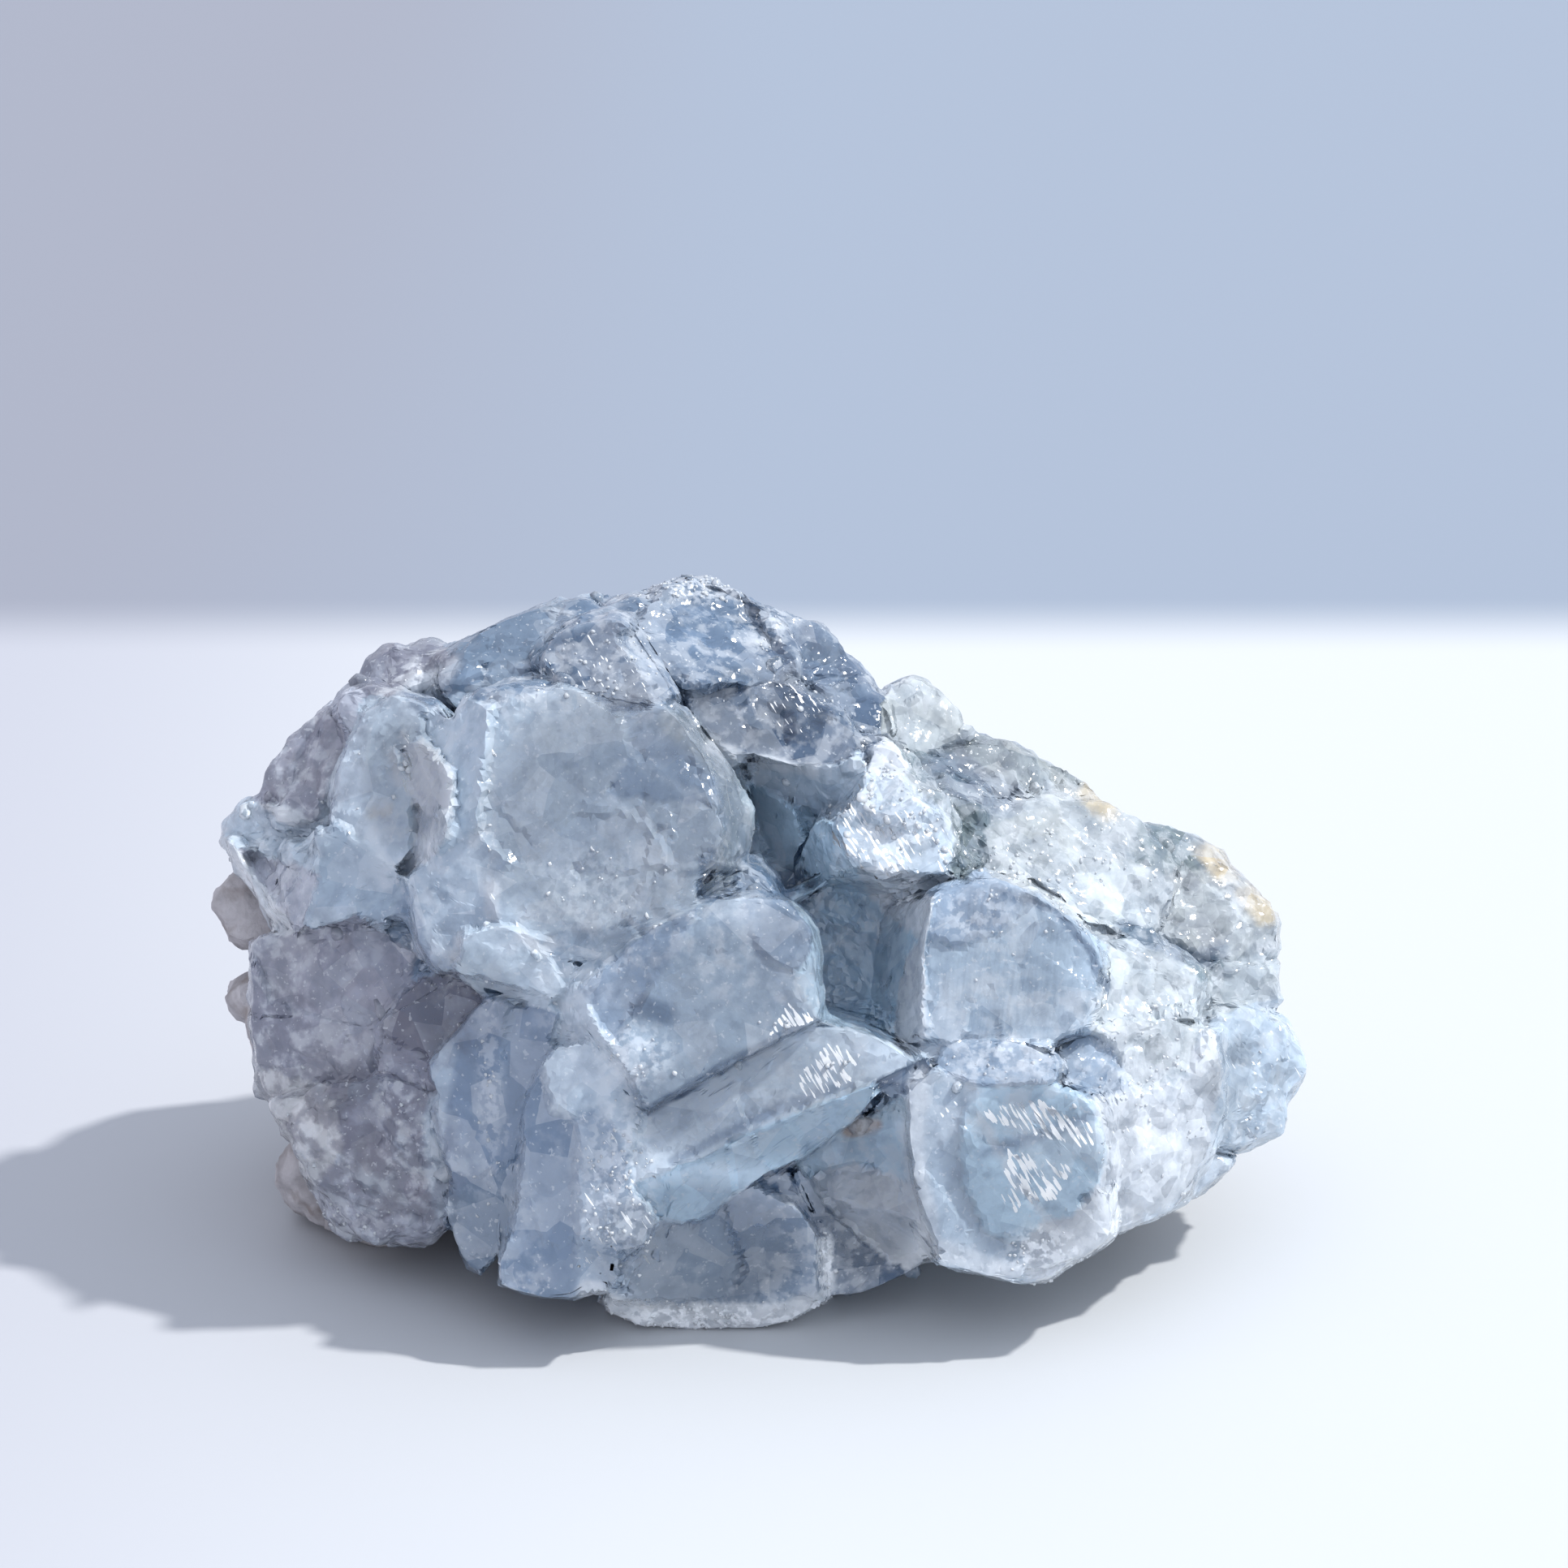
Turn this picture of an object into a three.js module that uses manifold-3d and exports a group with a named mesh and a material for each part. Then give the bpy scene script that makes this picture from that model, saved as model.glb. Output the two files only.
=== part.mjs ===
// Celestite geode piece: a fist of intergrown pale blue celestite crystals, backed by a shell of host rock.
// Millimetres, +Z up. +X is right and -Y is the show side, where the crystals face the viewer.
// The origin is the middle of the piece's footprint, on the surface that it rests on.
import * as THREE from "three";
import { ConvexGeometry } from "three/addons/geometries/ConvexGeometry.js";
import { ImprovedNoise } from "three/addons/math/ImprovedNoise.js";
import { mergeVertices } from "three/addons/utils/BufferGeometryUtils.js";
import Module from "manifold-3d";

// ---- driving dimensions ----

const LEAN_DEG = 21; // the show side leans back by this much from upright
const FRONT_Y = -22; // where the show plane meets the table, before the piece is centred on its footprint
const EYE = 331; // distance from the viewer's eye to the show plane
const EYE_AXIS = { x: 2.1, h: 44.9 }; // where the eye's axis crosses the show plane

// Below its face a crystal widens by grow and meets its neighbours. It ends in a root that draws in again:
// spread is how much of the distance from the lens's middle is left there.
const SKIRT = { drop: 6, grow: 1.3 };
const ROOT = { depth: 16, spread: 0.6 };

// The solid celestite that the crystals grow from: a lens behind them, at x, h and out on the show side.
const LENS = { x: -1, h: 30, out: -13, radii: [35, 14, 20.5], detail: 3 };

// The rind: a nodule, flatter below its centre than above. It hides behind the crystals by inset.
const RIND = { centre: [-1, 5, 20], radii: [50, 24, 36], below: 21.5, inset: 1.7, round: 12, detail: 9 };
const RIND_LUMPS = { height: 2.4, size: 14, salt: 1.7 };
const RIND_PITS = { height: 0.7, size: 5, salt: 4.1 };
const NODULES = { count: 90, seed: 5, height: 2.6, spread: [0.2, 0.4] }; // crowded domes, spread in radians

// The rind's broken front edge, a wavy surface that leans with slope and bows back towards both ends.
const RIM = { y: -14, slope: 0.55, turn: 0.06, bow: 7, halfLength: 45 };
const RIM_WAVE = { height: 2.5, size: 11, salt: 7.3 };
const RIM_CELLS = 20;

// Round knobs of the rind that show past the crystals: at x, h and out on the show side, with their reach.
const KNOBS = [
  { at: [-41, 34.8, -18.5], reach: [3.7, 3.7, 4.5] },
  { at: [-40.8, 27.4, -18.5], reach: [3, 2.6, 4.5] },
  { at: [-35.3, 12.7, -17], reach: [4.3, 4.2, 5] },
  { at: [-31, 10.2, -16], reach: [5, 3.6, 6] },
  { at: [39.3, 29.5, -22], reach: [3.7, 3.6, 5] },
];
const KNOB_WAVE = { height: 0.25, size: 0.8 };
const KNOB_DETAIL = 2;

// Small tabular crystals that ring the rim, between the show side and the rind.
const RIM_DRUSE = { count: 36, seed: 11, inset: 0.84, out: [-24, -14] };

const SEAT_GAP = 0.3; // clearance between the rind and the crystals
const SLIVER = 0.1; // facets thinner than this are merged into their neighbours

// The piece's outline as the viewer sees it, on the show plane.
const PROFILE = [
  [-14, 2.3], [-8, 0.2], [0, 0.2], [6, 2.3], [10, 3.9], [15, 5], [20, 3.9], [24, 3.7], [30, 8], [36, 11],
  [42.5, 16], [44.9, 21.5], [43.5, 25.5], [42.5, 31], [43, 34], [37.5, 39.8], [34, 41.8], [28.5, 42.6],
  [24, 46.7], [18, 49.2], [13.5, 53.5], [10, 53.3], [5, 57.5], [2, 58.8], [-5, 62],
  [-16, 60.3], [-25.5, 56.8], [-30, 56.3], [-36, 51.5], [-41, 44.5], [-44.4, 41], [-44.7, 36], [-42.2, 30],
  [-43.6, 26], [-41, 19], [-39.5, 11], [-34, 7.6], [-25, 4.8], [-20, 3],
];

const lean = THREE.MathUtils.degToRad(LEAN_DEG);
const wasm = await Module();
wasm.setup();
const noise = new ImprovedNoise();

// ---- helpers ----

// A place on the show side: x to the right, h up the leaning show plane, out towards the viewer.
function show(x, h, out) {
  const spread = 1 - out / EYE;
  const sx = EYE_AXIS.x + (x - EYE_AXIS.x) * spread;
  const sh = EYE_AXIS.h + (h - EYE_AXIS.h) * spread;
  return new THREE.Vector3(
    sx,
    FRONT_Y + sh * Math.sin(lean) - out * Math.cos(lean),
    sh * Math.cos(lean) + out * Math.sin(lean),
  );
}

function solidOf(geometry) {
  const bare = new THREE.BufferGeometry().setAttribute("position", geometry.getAttribute("position"));
  if (geometry.index) bare.setIndex(geometry.index);
  const merged = mergeVertices(bare, 1e-4);
  const mesh = new wasm.Mesh({
    numProp: 3,
    vertProperties: new Float32Array(merged.attributes.position.array),
    triVerts: new Uint32Array(merged.index.array),
  });
  return new wasm.Manifold(mesh);
}

function geometryOf(solid) {
  const mesh = solid.getMesh();
  const geometry = new THREE.BufferGeometry();
  geometry.setAttribute("position", new THREE.BufferAttribute(mesh.vertProperties, 3));
  geometry.setIndex(new THREE.BufferAttribute(mesh.triVerts, 1));
  return geometry;
}

const meanOf = (numbers) => numbers.reduce((sum, value) => sum + value, 0) / numbers.length;
const middleOf = (outline) => [0, 1].map((axis) => meanOf(outline.map((corner) => corner[axis])));
const hull = (points) => solidOf(new ConvexGeometry(points));
const union = (solids) => solids.reduce((sum, solid) => sum.add(solid));

// A repeatable stream of random numbers from low to high.
function randomStream(seed) {
  let state = seed;
  return (low, high) => {
    state = (Math.imul(state, 1664525) + 1013904223) >>> 0;
    return low + ((high - low) * state) / 2 ** 32;
  };
}

// Smooth bumps of a given height and size across.
function wave(v, { height, size, salt }) {
  return height * noise.noise(v.x / size + salt, v.y / size + salt, v.z / size + salt);
}

// The place on the show plane that a point hides behind, or hides, as the viewer sees it.
function seenAt(point) {
  const out = point.z * Math.sin(lean) - (point.y - FRONT_Y) * Math.cos(lean);
  const sh = point.z * Math.cos(lean) + (point.y - FRONT_Y) * Math.sin(lean);
  const spread = 1 - out / EYE;
  return [EYE_AXIS.x + (point.x - EYE_AXIS.x) / spread, EYE_AXIS.h + (sh - EYE_AXIS.h) / spread];
}

// How far a place inside the profile is from its edge, and 0 outside it.
function roomInside(x, h) {
  let inside = false;
  let room = Infinity;
  PROFILE.forEach(([x1, h1], i) => {
    const [x2, h2] = PROFILE[(i + 1) % PROFILE.length];
    if (h1 > h !== h2 > h && x < x1 + ((h - h1) / (h2 - h1)) * (x2 - x1)) inside = !inside;
    const along = ((x - x1) * (x2 - x1) + (h - h1) * (h2 - h1)) / ((x2 - x1) ** 2 + (h2 - h1) ** 2);
    const edge = THREE.MathUtils.clamp(along, 0, 1);
    room = Math.min(room, Math.hypot(x - x1 - edge * (x2 - x1), h - h1 - edge * (h2 - h1)));
  });
  return inside ? room : 0;
}

// ---- crystals ----

// One crystal of the show side: a face, an uneven bevel round it, a skirt that meets its neighbours, a root.
// face is the outline on the show plane, out its depth, and tilt how fast that depth changes along x and h.
// crest holds places where the face stands a little higher, so that it is cut into a few facets.
function crystal({ face, out, tilt = [0, 0], bevel = 0.5, drop = 0.3, crest = [], extra = [] }, index) {
  const random = randomStream(index + 1);
  const [cx, ch] = middleOf(face);
  const depthAt = (x, h) => out + tilt[0] * (x - cx) + tilt[1] * (h - ch);
  const ring = (grow, below, uneven) => face.map(([x, h]) => {
    const reach = Math.hypot(x - cx, h - ch);
    const wanted = grow * random(1 - uneven, 1 + uneven);
    const wider = (reach + Math.min(wanted, roomInside(x, h))) / reach;
    const lower = below * random(1 - uneven / 2, 1 + uneven / 2);
    return [cx + (x - cx) * wider, ch + (h - ch) * wider, depthAt(x, h) - lower];
  });
  const root = ring(SKIRT.grow, ROOT.depth, 0).map(([x, h, depth]) => [
    LENS.x + (x - LENS.x) * ROOT.spread,
    LENS.h + (h - LENS.h) * ROOT.spread,
    depth,
  ]);
  const crests = crest.map(([x, h, rise]) => [x, h, depthAt(x, h) + rise]);
  const front = [...ring(0, 0, 0), ...ring(bevel, drop, 0.6), ...ring(SKIRT.grow, SKIRT.drop, 0.4)];
  return hull([...front, ...root, ...crests, ...extra].map((place) => show(...place)));
}

// A tabular celestite crystal: wide pinacoid faces top and bottom, bevelled by dome faces.
function tablet(length, width, thick, bevel) {
  const points = [];
  for (const z of [-thick / 2, thick / 2]) {
    for (const [sx, sy] of [[-1, -1], [1, -1], [1, 1], [-1, 1]]) {
      points.push(new THREE.Vector3((sx * (length - bevel)) / 2, (sy * (width - bevel)) / 2, z));
      points.push(new THREE.Vector3((sx * length) / 2, (sy * width) / 2, z * 0.35));
    }
  }
  return new ConvexGeometry(points);
}

// The crystals that the viewer sees, from the top left to the bottom right, in millimetres on the show side.
const SHOW_CRYSTALS = {
  great: {
    face: [[-26.5, 37.5], [-25.5, 46.5], [-23, 51.5], [-18, 52.3], [-12, 50.8], [-7.5, 50.5], [-5, 46.5],
      [-3.4, 42.5], [-4.2, 38.8], [-9.5, 34.6], [-15, 31.5], [-21, 32.8]],
    out: 7, tilt: [0.06, -0.22], bevel: 0.7,
    crest: [[-21.8, 50.5, 0.5], [-21.8, 35, 0.6], [-9, 46, 0.3]],
    extra: [[-5.3, 50.8, 0], [-2, 46.3, 1], [-0.2, 43, 1], [-0.2, 41.3, 1], [-1, 38, 2], [-5.5, 34.8, 3]],
  },
  great_foot: {
    face: [[-28.6, 37], [-27.3, 32], [-26.5, 30], [-25.2, 29.8], [-24.5, 32.3], [-22.2, 33.3],
      [-21.7, 36], [-24, 38.3]],
    out: 7.5, tilt: [0.25, -0.1], bevel: 0.4,
  },
  lip: {
    face: [[-24.6, 30.2], [-24, 32.2], [-22, 32.9], [-20, 32.6], [-17.8, 31.2], [-16.3, 29.3], [-16, 28.3],
      [-17.2, 27.7], [-19, 28.3], [-22.5, 29.2]],
    out: 9, tilt: [-0.1, 0.25], bevel: 0.4,
  },
  left_bevel: {
    face: [[-34.2, 43.5], [-33, 47], [-32, 50], [-30, 51], [-27, 50.7], [-25.8, 47], [-26.2, 44],
      [-27.5, 40.5],
      [-29, 39], [-31.5, 39], [-34, 40.5]],
    out: 2, tilt: [0.45, -0.2], bevel: 0.8,
    crest: [[-31, 50, 0.4], [-28.5, 41, 0.4]],
  },
  left_pane: {
    face: [[-35.6, 40.5], [-33.5, 39.3], [-31.2, 38], [-29.2, 37.3], [-29, 34.3], [-33, 34.6],
      [-35.5, 33.6],
      [-36.7, 33.4], [-36.8, 35.5], [-36, 37.5]],
    out: 1.5, tilt: [0.35, 0.1], bevel: 0.4,
  },
  flake: {
    face: [[-40.8, 43], [-38.6, 42.8], [-37.4, 41.8], [-37.6, 41.2], [-39, 41.1], [-40.8, 42.3]],
    out: -8, tilt: [0.2, -0.2], bevel: 0.3,
  },
  left_lump: {
    face: [[-43.6, 41], [-43, 42.6], [-41.5, 43], [-39, 41.5], [-38, 39], [-39.5, 37.8], [-42, 39],
      [-43.4, 40.2]],
    out: -10, tilt: [0.5, -0.1], bevel: 0.7,
  },
  blade: {
    face: [[-43.2, 39.8], [-42.2, 39.6], [-40, 36.2], [-38.4, 33.6], [-39, 32.8], [-40.2, 34.6],
      [-41, 36.6]],
    out: -7.5, tilt: [0.3, 0], bevel: 0.3,
  },
  knob: {
    face: [[-38.4, 38.6], [-38.2, 39.6], [-36.4, 39.6], [-36, 38.6], [-36.6, 37.8], [-38, 37.8]],
    out: -3, bevel: 0.4,
  },
  left_block: {
    face: [[-38.5, 37.5], [-36, 37.5], [-36.8, 35], [-37, 33.2], [-38.5, 33.7], [-39.5, 35.5]],
    out: -4, tilt: [0.4, 0], bevel: 0.4,
  },
  plum_slab: {
    face: [[-40.6, 43.8], [-39.6, 46.5], [-37.6, 49], [-35.4, 50.6], [-34.2, 50.3], [-33.8, 48.5],
      [-35, 45], [-37.3, 42.3]],
    out: -9, tilt: [0.6, -0.5], bevel: 0.8,
  },
  shoulder: {
    face: [[-32.6, 52], [-31.8, 54], [-30, 55.5], [-27.6, 56.2], [-25.9, 55.6], [-24.4, 54.6],
      [-27, 53.2], [-30, 52]],
    out: -9, tilt: [0.3, -0.8], bevel: 0.6,
  },
  shoulder_chip: {
    face: [[-34.3, 50.5], [-33.5, 52], [-32, 52.3], [-30, 51.8], [-31.5, 50.3], [-33.5, 49.5]],
    out: -5, tilt: [0.3, -0.3], bevel: 0.5,
  },
  crown_left: {
    face: [[-25.5, 55.4], [-21, 58], [-18, 59.4], [-14.5, 59.8], [-12.5, 58], [-14, 55.5], [-16, 53.8],
      [-20, 52.8], [-25.5, 53]],
    out: -5, tilt: [0.1, -0.7], bevel: 0.7,
    crest: [[-25, 54.3, 0.4], [-14, 58, 0.4]],
  },
  frost_slab: {
    face: [[-17.5, 55], [-15, 57], [-12.3, 58], [-11, 57.3], [-10.3, 55], [-7.3, 52.6], [-9.5, 51.6],
      [-13, 50.8], [-15.2, 53]],
    out: 2, tilt: [0.1, -0.35], bevel: 0.5,
  },
  crown_mid: {
    face: [[-12, 59.5], [-8.5, 59.8], [-4.5, 60.5], [-1.5, 59.8], [0.5, 58.5], [2, 56.3], [2.3, 54.6],
      [0.5, 53.6],
      [-3.5, 52.8], [-6.5, 52.6], [-9.5, 54], [-12, 57]],
    out: -6, tilt: [-0.1, -0.8], bevel: 0.8,
    crest: [[-11, 58, 0.5], [1.5, 56, 0.5]],
  },
  crown_tip: {
    face: [[-7.8, 60.3], [-7.3, 61.3], [-5.5, 61.7], [-4.3, 61.5], [-3.5, 60.2]],
    out: -11, bevel: 0.4, drop: 0.8,
  },
  crown_bead: {
    face: [[-3.6, 59.8], [-2.5, 60.6], [-1.2, 60.2], [-0.8, 59.2], [-2, 58.6]],
    out: -8.5, bevel: 0.4, drop: 0.8,
  },
  crown_right: {
    face: [[0.3, 59.2], [3, 58.3], [5.3, 57], [7.2, 55.3], [8.3, 53.8], [5, 53.5], [2.6, 53.6], [2.2, 56]],
    out: -10, tilt: [-0.5, -0.5], bevel: 0.8,
  },
  right_cheek: {
    face: [[5.2, 52.8], [8.8, 53.2], [9.8, 51.2], [10.4, 49.6], [9.2, 48.4], [8, 49.8], [5.8, 51.4]],
    out: -8, tilt: [-0.7, -0.3], bevel: 0.6,
  },
  brow: {
    face: [[-5, 51], [-3, 52.3], [1, 52.6], [4, 51.6], [7.4, 49], [7.8, 48], [7, 46.8], [5.3, 46.4],
      [3, 46.9],
      [-0.5, 47.4], [-3.3, 48.2]],
    out: -2, tilt: [-0.2, -0.4], bevel: 0.5,
  },
  brow_chip: {
    face: [[4.2, 46], [5.8, 45], [6.8, 43], [7.8, 44.6], [8.7, 47], [7.5, 46.6]],
    out: -1, bevel: 0.4,
  },
  bright: {
    face: [[5.8, 40.7], [6.8, 42.5], [8.2, 44.5], [9, 46], [11.5, 45.8], [14, 43.5], [15.3, 41.5],
      [16, 39.8],
      [15.5, 38.8], [13.9, 38.8], [12.5, 38], [11.5, 39], [8.2, 38.6], [6.5, 39.6]],
    out: 3, tilt: [-0.1, -0.5], bevel: 0.4,
    crest: [[8, 43, 0.5], [14.3, 41, 0.5], [11.5, 44.5, 0.4]],
  },
  bright_fin: {
    face: [[9.4, 47.8], [10.6, 47.8], [11.8, 46.5], [12, 45.3], [9.6, 45.3]],
    out: 0, tilt: [0, -0.4], bevel: 0.3,
  },
  bright_bead: {
    face: [[16, 39.2], [17, 38.4], [16.3, 37.5], [15.2, 38.2]],
    out: 1.5, bevel: 0.3, drop: 0.8,
  },
  tongue: {
    face: [[-15, 28.8], [-12, 31], [-9, 32.9], [-5.5, 34.3], [-3, 35.1], [-1, 35.3], [1.4, 34.6], [3.8, 33],
      [4.2, 32], [4.1, 31.1], [4.6, 25.8], [0, 24.3], [-4, 22.3], [-8.8, 18.6], [-10.5, 20.5],
      [-12.5, 23.5], [-14.5, 26]],
    out: 9.5, tilt: [0, -0.15], bevel: 0.4,
    crest: [[-8.5, 32.3, 0.4], [3.8, 27, 0.4]],
  },
  prism_upper: {
    face: [[-9.5, 17], [-8.6, 17.9], [-4.5, 20], [1, 22.9], [5, 25], [8, 24.3], [11, 23.1],
      [12.8, 21.8], [9.8, 19.6],
      [5, 18.3], [2.5, 17.6], [-2, 15.6], [-5.5, 13.9], [-8.3, 13.6], [-10, 15]],
    out: 8.7, tilt: [0, -0.1], bevel: 0.3,
  },
  prism_lower: {
    face: [[-7, 13], [-1, 15.5], [2.5, 17.3], [6, 18.4], [9, 19.3], [8.6, 18], [7.3, 16.9], [4.2, 15.3],
      [3.3, 14.2],
      [0, 12.6], [-2, 11.8], [-4, 10], [-5.5, 9.2], [-7.5, 9.2], [-8.8, 10.5]],
    out: 7.8, tilt: [0, 0.3], bevel: 0.3,
  },
  sill: {
    face: [[-5.3, 35], [-4.8, 36.8], [-3.8, 37.8], [-1, 38], [0.2, 37.4], [1.3, 35.9], [-1.5, 35.8]],
    out: 3.5, tilt: [0, -0.4], bevel: 0.3,
  },
  speckled: {
    face: [[-17, 23.2], [-14.5, 23.8], [-12, 21.5], [-10, 18.5], [-8.8, 16], [-8, 13], [-7.8, 10],
      [-8.8, 8],
      [-11, 5.2], [-13, 4], [-15, 3.3], [-18, 3.2], [-21, 4.3], [-20.3, 9], [-19.9, 13], [-19.3, 17],
      [-18.5, 19.5]],
    out: 8.5, tilt: [0.1, 0.1], bevel: 0.4,
    crest: [[-15.2, 22.8, 0.8], [-12.6, 6.5, 0.8]],
  },
  step_upper: { face: [[-11, 6.3], [-8.9, 6.3], [-8.9, 8.6], [-11, 8.6]], out: 8, bevel: 0.3, drop: 0.8 },
  step_lower: { face: [[-13, 4], [-11.4, 4], [-11.4, 5.8], [-13, 5.8]], out: 7.6, bevel: 0.3, drop: 0.8 },
  column: {
    face: [[-26.6, 21.4], [-25, 23.8], [-23.2, 25.2], [-22.5, 26.6], [-20, 26.9], [-17.4, 26.5],
      [-16.8, 25.5],
      [-17.8, 23], [-19, 19.8], [-19.8, 17], [-20.2, 12], [-21.3, 8], [-22.7, 5.3], [-23.9, 6],
      [-24.9, 9.5],
      [-25.1, 13], [-26.3, 15.5], [-26.6, 19.7]],
    out: 4.5, tilt: [0.35, 0.15], bevel: 0.4,
    crest: [[-23.3, 24.6, 0.5], [-22.8, 7.5, 0.5]],
  },
  plum: {
    face: [[-31.5, 25], [-29, 27], [-27.8, 28.6], [-26.4, 29.2], [-24.7, 28.9], [-23.4, 27.1],
      [-24.3, 25.8],
      [-26.2, 23.9], [-27.3, 22], [-31, 22.5]],
    out: 1.5, tilt: [0.3, 0.2], bevel: 0.4,
  },
  wall_upper: {
    face: [[-40.2, 31.5], [-38, 32.5], [-33, 33.8], [-29.5, 33], [-28, 31], [-29, 28.5], [-32, 25.5],
      [-36, 25], [-40.5, 26.5]],
    out: -4, tilt: [0.5, 0.1], bevel: 0.8,
    crest: [[-39.5, 29, 0.6], [-29, 30.5, 0.6]],
  },
  wall_middle: {
    face: [[-40.8, 25.5], [-36, 25], [-32, 24.5], [-31, 21], [-35, 19], [-40, 20]],
    out: -5, tilt: [0.5, 0.1], bevel: 0.7,
  },
  wall_lower: {
    face: [[-39.3, 18.5], [-35, 18.7], [-30, 20.5], [-27.8, 19.5], [-27.5, 16], [-26.2, 13], [-26.2, 9],
      [-27, 8],
      [-31, 8.2], [-34, 9.5], [-36, 13]],
    out: -1.5, tilt: [0.4, 0.35], bevel: 0.7,
    crest: [[-38, 17, 0.6], [-28, 11, 0.6]],
  },
  gap_chip: {
    face: [[-15.8, 28], [-14.8, 26], [-12.8, 23.6], [-16, 24.3], [-17, 26]],
    out: 6, bevel: 0.4,
  },
  keel: {
    face: [[-12.5, 2.6], [-11, 4], [-8.5, 7], [-5.5, 9], [-1.5, 11.2], [2.5, 11.3], [3.2, 9.5], [4.7, 7.5],
      [5.5, 4.5], [5.2, 2.8], [3, 1.6], [0, 0.9], [-6, 0.8], [-9, 1.1]],
    out: 3, tilt: [0, 0.6], bevel: 0.4,
    crest: [[-9.5, 4.5, 0.4], [4.5, 6.5, 0.4]],
  },
  keel_frost: {
    face: [[-12.5, 1.6], [-12, 2.4], [0, 2.3], [5, 3], [5.6, 2.7], [3, 1], [0, 0.3], [-6, 0.2], [-9, 0.5]],
    out: 0.6, tilt: [0, 0.6], bevel: 0.3, drop: 0.8,
  },
  mid_low: {
    face: [[4, 14], [3.8, 12], [5.2, 9.8], [6.8, 8.3], [10, 7], [13.8, 6.6], [13, 10], [11.8, 16.5],
      [11.3, 17.5],
      [10, 18.3], [8, 16.3], [6, 14.9]],
    out: 3, tilt: [0.1, 0.2], bevel: 0.4,
    crest: [[5, 13, 0.4], [12.2, 10, 0.4]],
  },
  wedge: {
    face: [[5.6, 7.5], [5.9, 3.6], [7.5, 2.9], [9, 3.3], [12, 5], [13, 5.9], [10, 6.5], [7.5, 7.5]],
    out: 1, tilt: [0, 0.5], bevel: 0.3,
  },
  lantern: {
    face: [[12.8, 19.5], [12.4, 17.8], [13, 14], [13.8, 10], [14.7, 7.3], [15.3, 6.4], [17, 5.8], [20, 5.6],
      [22.5, 5.6], [24, 6.2], [27, 6.6], [28.8, 8], [28.4, 10.5], [28.4, 14.5], [28.6, 16.5], [27.5, 18.6],
      [25, 19.6], [21, 19.8], [16, 20.4]],
    out: 8, tilt: [-0.05, 0.1], bevel: 0.6,
    crest: [[15, 9, 0.6], [28, 11.5, 0.6]],
  },
  lantern_plate: {
    face: [[16.5, 5.2], [20, 4.4], [21.5, 4], [23.5, 4.1], [25.3, 5.5], [25, 6.5], [17, 6.5]],
    out: 6.2, bevel: 0.3, drop: 0.8,
  },
  lantern_cap: {
    face: [[14.8, 21.8], [17, 23.6], [19, 23.6], [22, 23], [24, 22.6], [24.8, 21.3], [23.5, 20.7],
      [21, 20.3], [17, 20.6]],
    out: 8.3, tilt: [0, -0.6], bevel: 0.4,
  },
  well: {
    face: [[2.6, 34.8], [8, 37.6], [11, 37.8], [12.6, 36.2], [13.4, 34], [12.6, 31], [11, 27],
      [10.6, 25.6], [8.5, 25.6],
      [5.4, 27], [3.8, 29.5], [4.8, 32]],
    out: -3.5, tilt: [0.25, -0.15], bevel: 0.3,
    crest: [[5, 34.5, 0.6], [9.8, 26.5, 0.8]],
  },
  pocket_floor: {
    face: [[-0.8, 46], [4, 45.3], [5.2, 42.6], [4.8, 41.2], [1, 41], [-0.4, 42.2]],
    out: -6, tilt: [-0.2, -0.3], bevel: 0.3,
  },
  shield: {
    face: [[13.2, 24.6], [13, 27], [13.8, 31.3], [14.3, 35.3], [17, 36.3], [20.4, 36.5], [22, 35.9],
      [24.3, 34.3],
      [26.3, 32.3], [27.5, 30.3], [27.7, 27], [26.5, 25.6], [24, 23.9], [21, 23.9], [17, 24.3], [15, 23.8]],
    out: 6, tilt: [-0.1, -0.1], bevel: 0.4,
    crest: [[15, 34.5, 0.4], [26.8, 27.5, 0.4]],
    extra: [[11.2, 24.4, 2], [12, 30.6, 1.5], [13.3, 31.2, 2]],
  },
  right_white: {
    face: [[28.6, 27], [28.3, 30.2], [27, 33], [29, 32.6], [33, 31], [35, 29.4], [35.4, 28], [35.4, 25.7],
      [34.5, 24.6], [30.5, 24.4], [27.6, 25]],
    out: 0, tilt: [-0.5, -0.3], bevel: 0.7,
    crest: [[29, 28.5, 0.6], [34.7, 28.5, 0.6]],
  },
  druse_mass: {
    face: [[25.5, 19.8], [28, 21.4], [31, 23.5], [35, 24.3], [37.4, 23.6], [37.4, 18], [36.3, 15],
      [35.2, 12],
      [34, 10.3], [31, 9], [29.8, 8.5], [28, 12]],
    out: 2, tilt: [-0.5, 0.1], bevel: 0.8,
    crest: [[32, 18, 1.2], [30.5, 12, 0.9], [35, 21, 0.8]],
  },
  right_end: {
    face: [[38.4, 25.4], [40, 25.6], [42.6, 24.4], [44.2, 22.4], [44.2, 21], [42.6, 18.2], [42.2, 17],
      [41, 15.8],
      [39, 15.2], [37.8, 16], [37.6, 18], [38, 23]],
    out: -7, tilt: [-0.7, 0], bevel: 0.7,
  },
  right_foot: {
    face: [[36, 14.5], [38.6, 14], [38.2, 13.2], [36.8, 12.5], [35.6, 11.2], [35.6, 13]],
    out: -6, bevel: 0.4,
  },
  upper_white: {
    face: [[18.5, 41.6], [20, 42.6], [24, 43], [27, 42.4], [30, 41], [32.5, 39.5], [33.3, 38], [33, 36],
      [32.4, 34.4],
      [31, 33.6], [28, 33.6], [26.3, 34.5], [24.6, 36.2], [22, 37.4], [19.5, 38.4], [18.3, 39.4]],
    out: -6, tilt: [-0.3, -0.5], bevel: 0.8,
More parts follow.
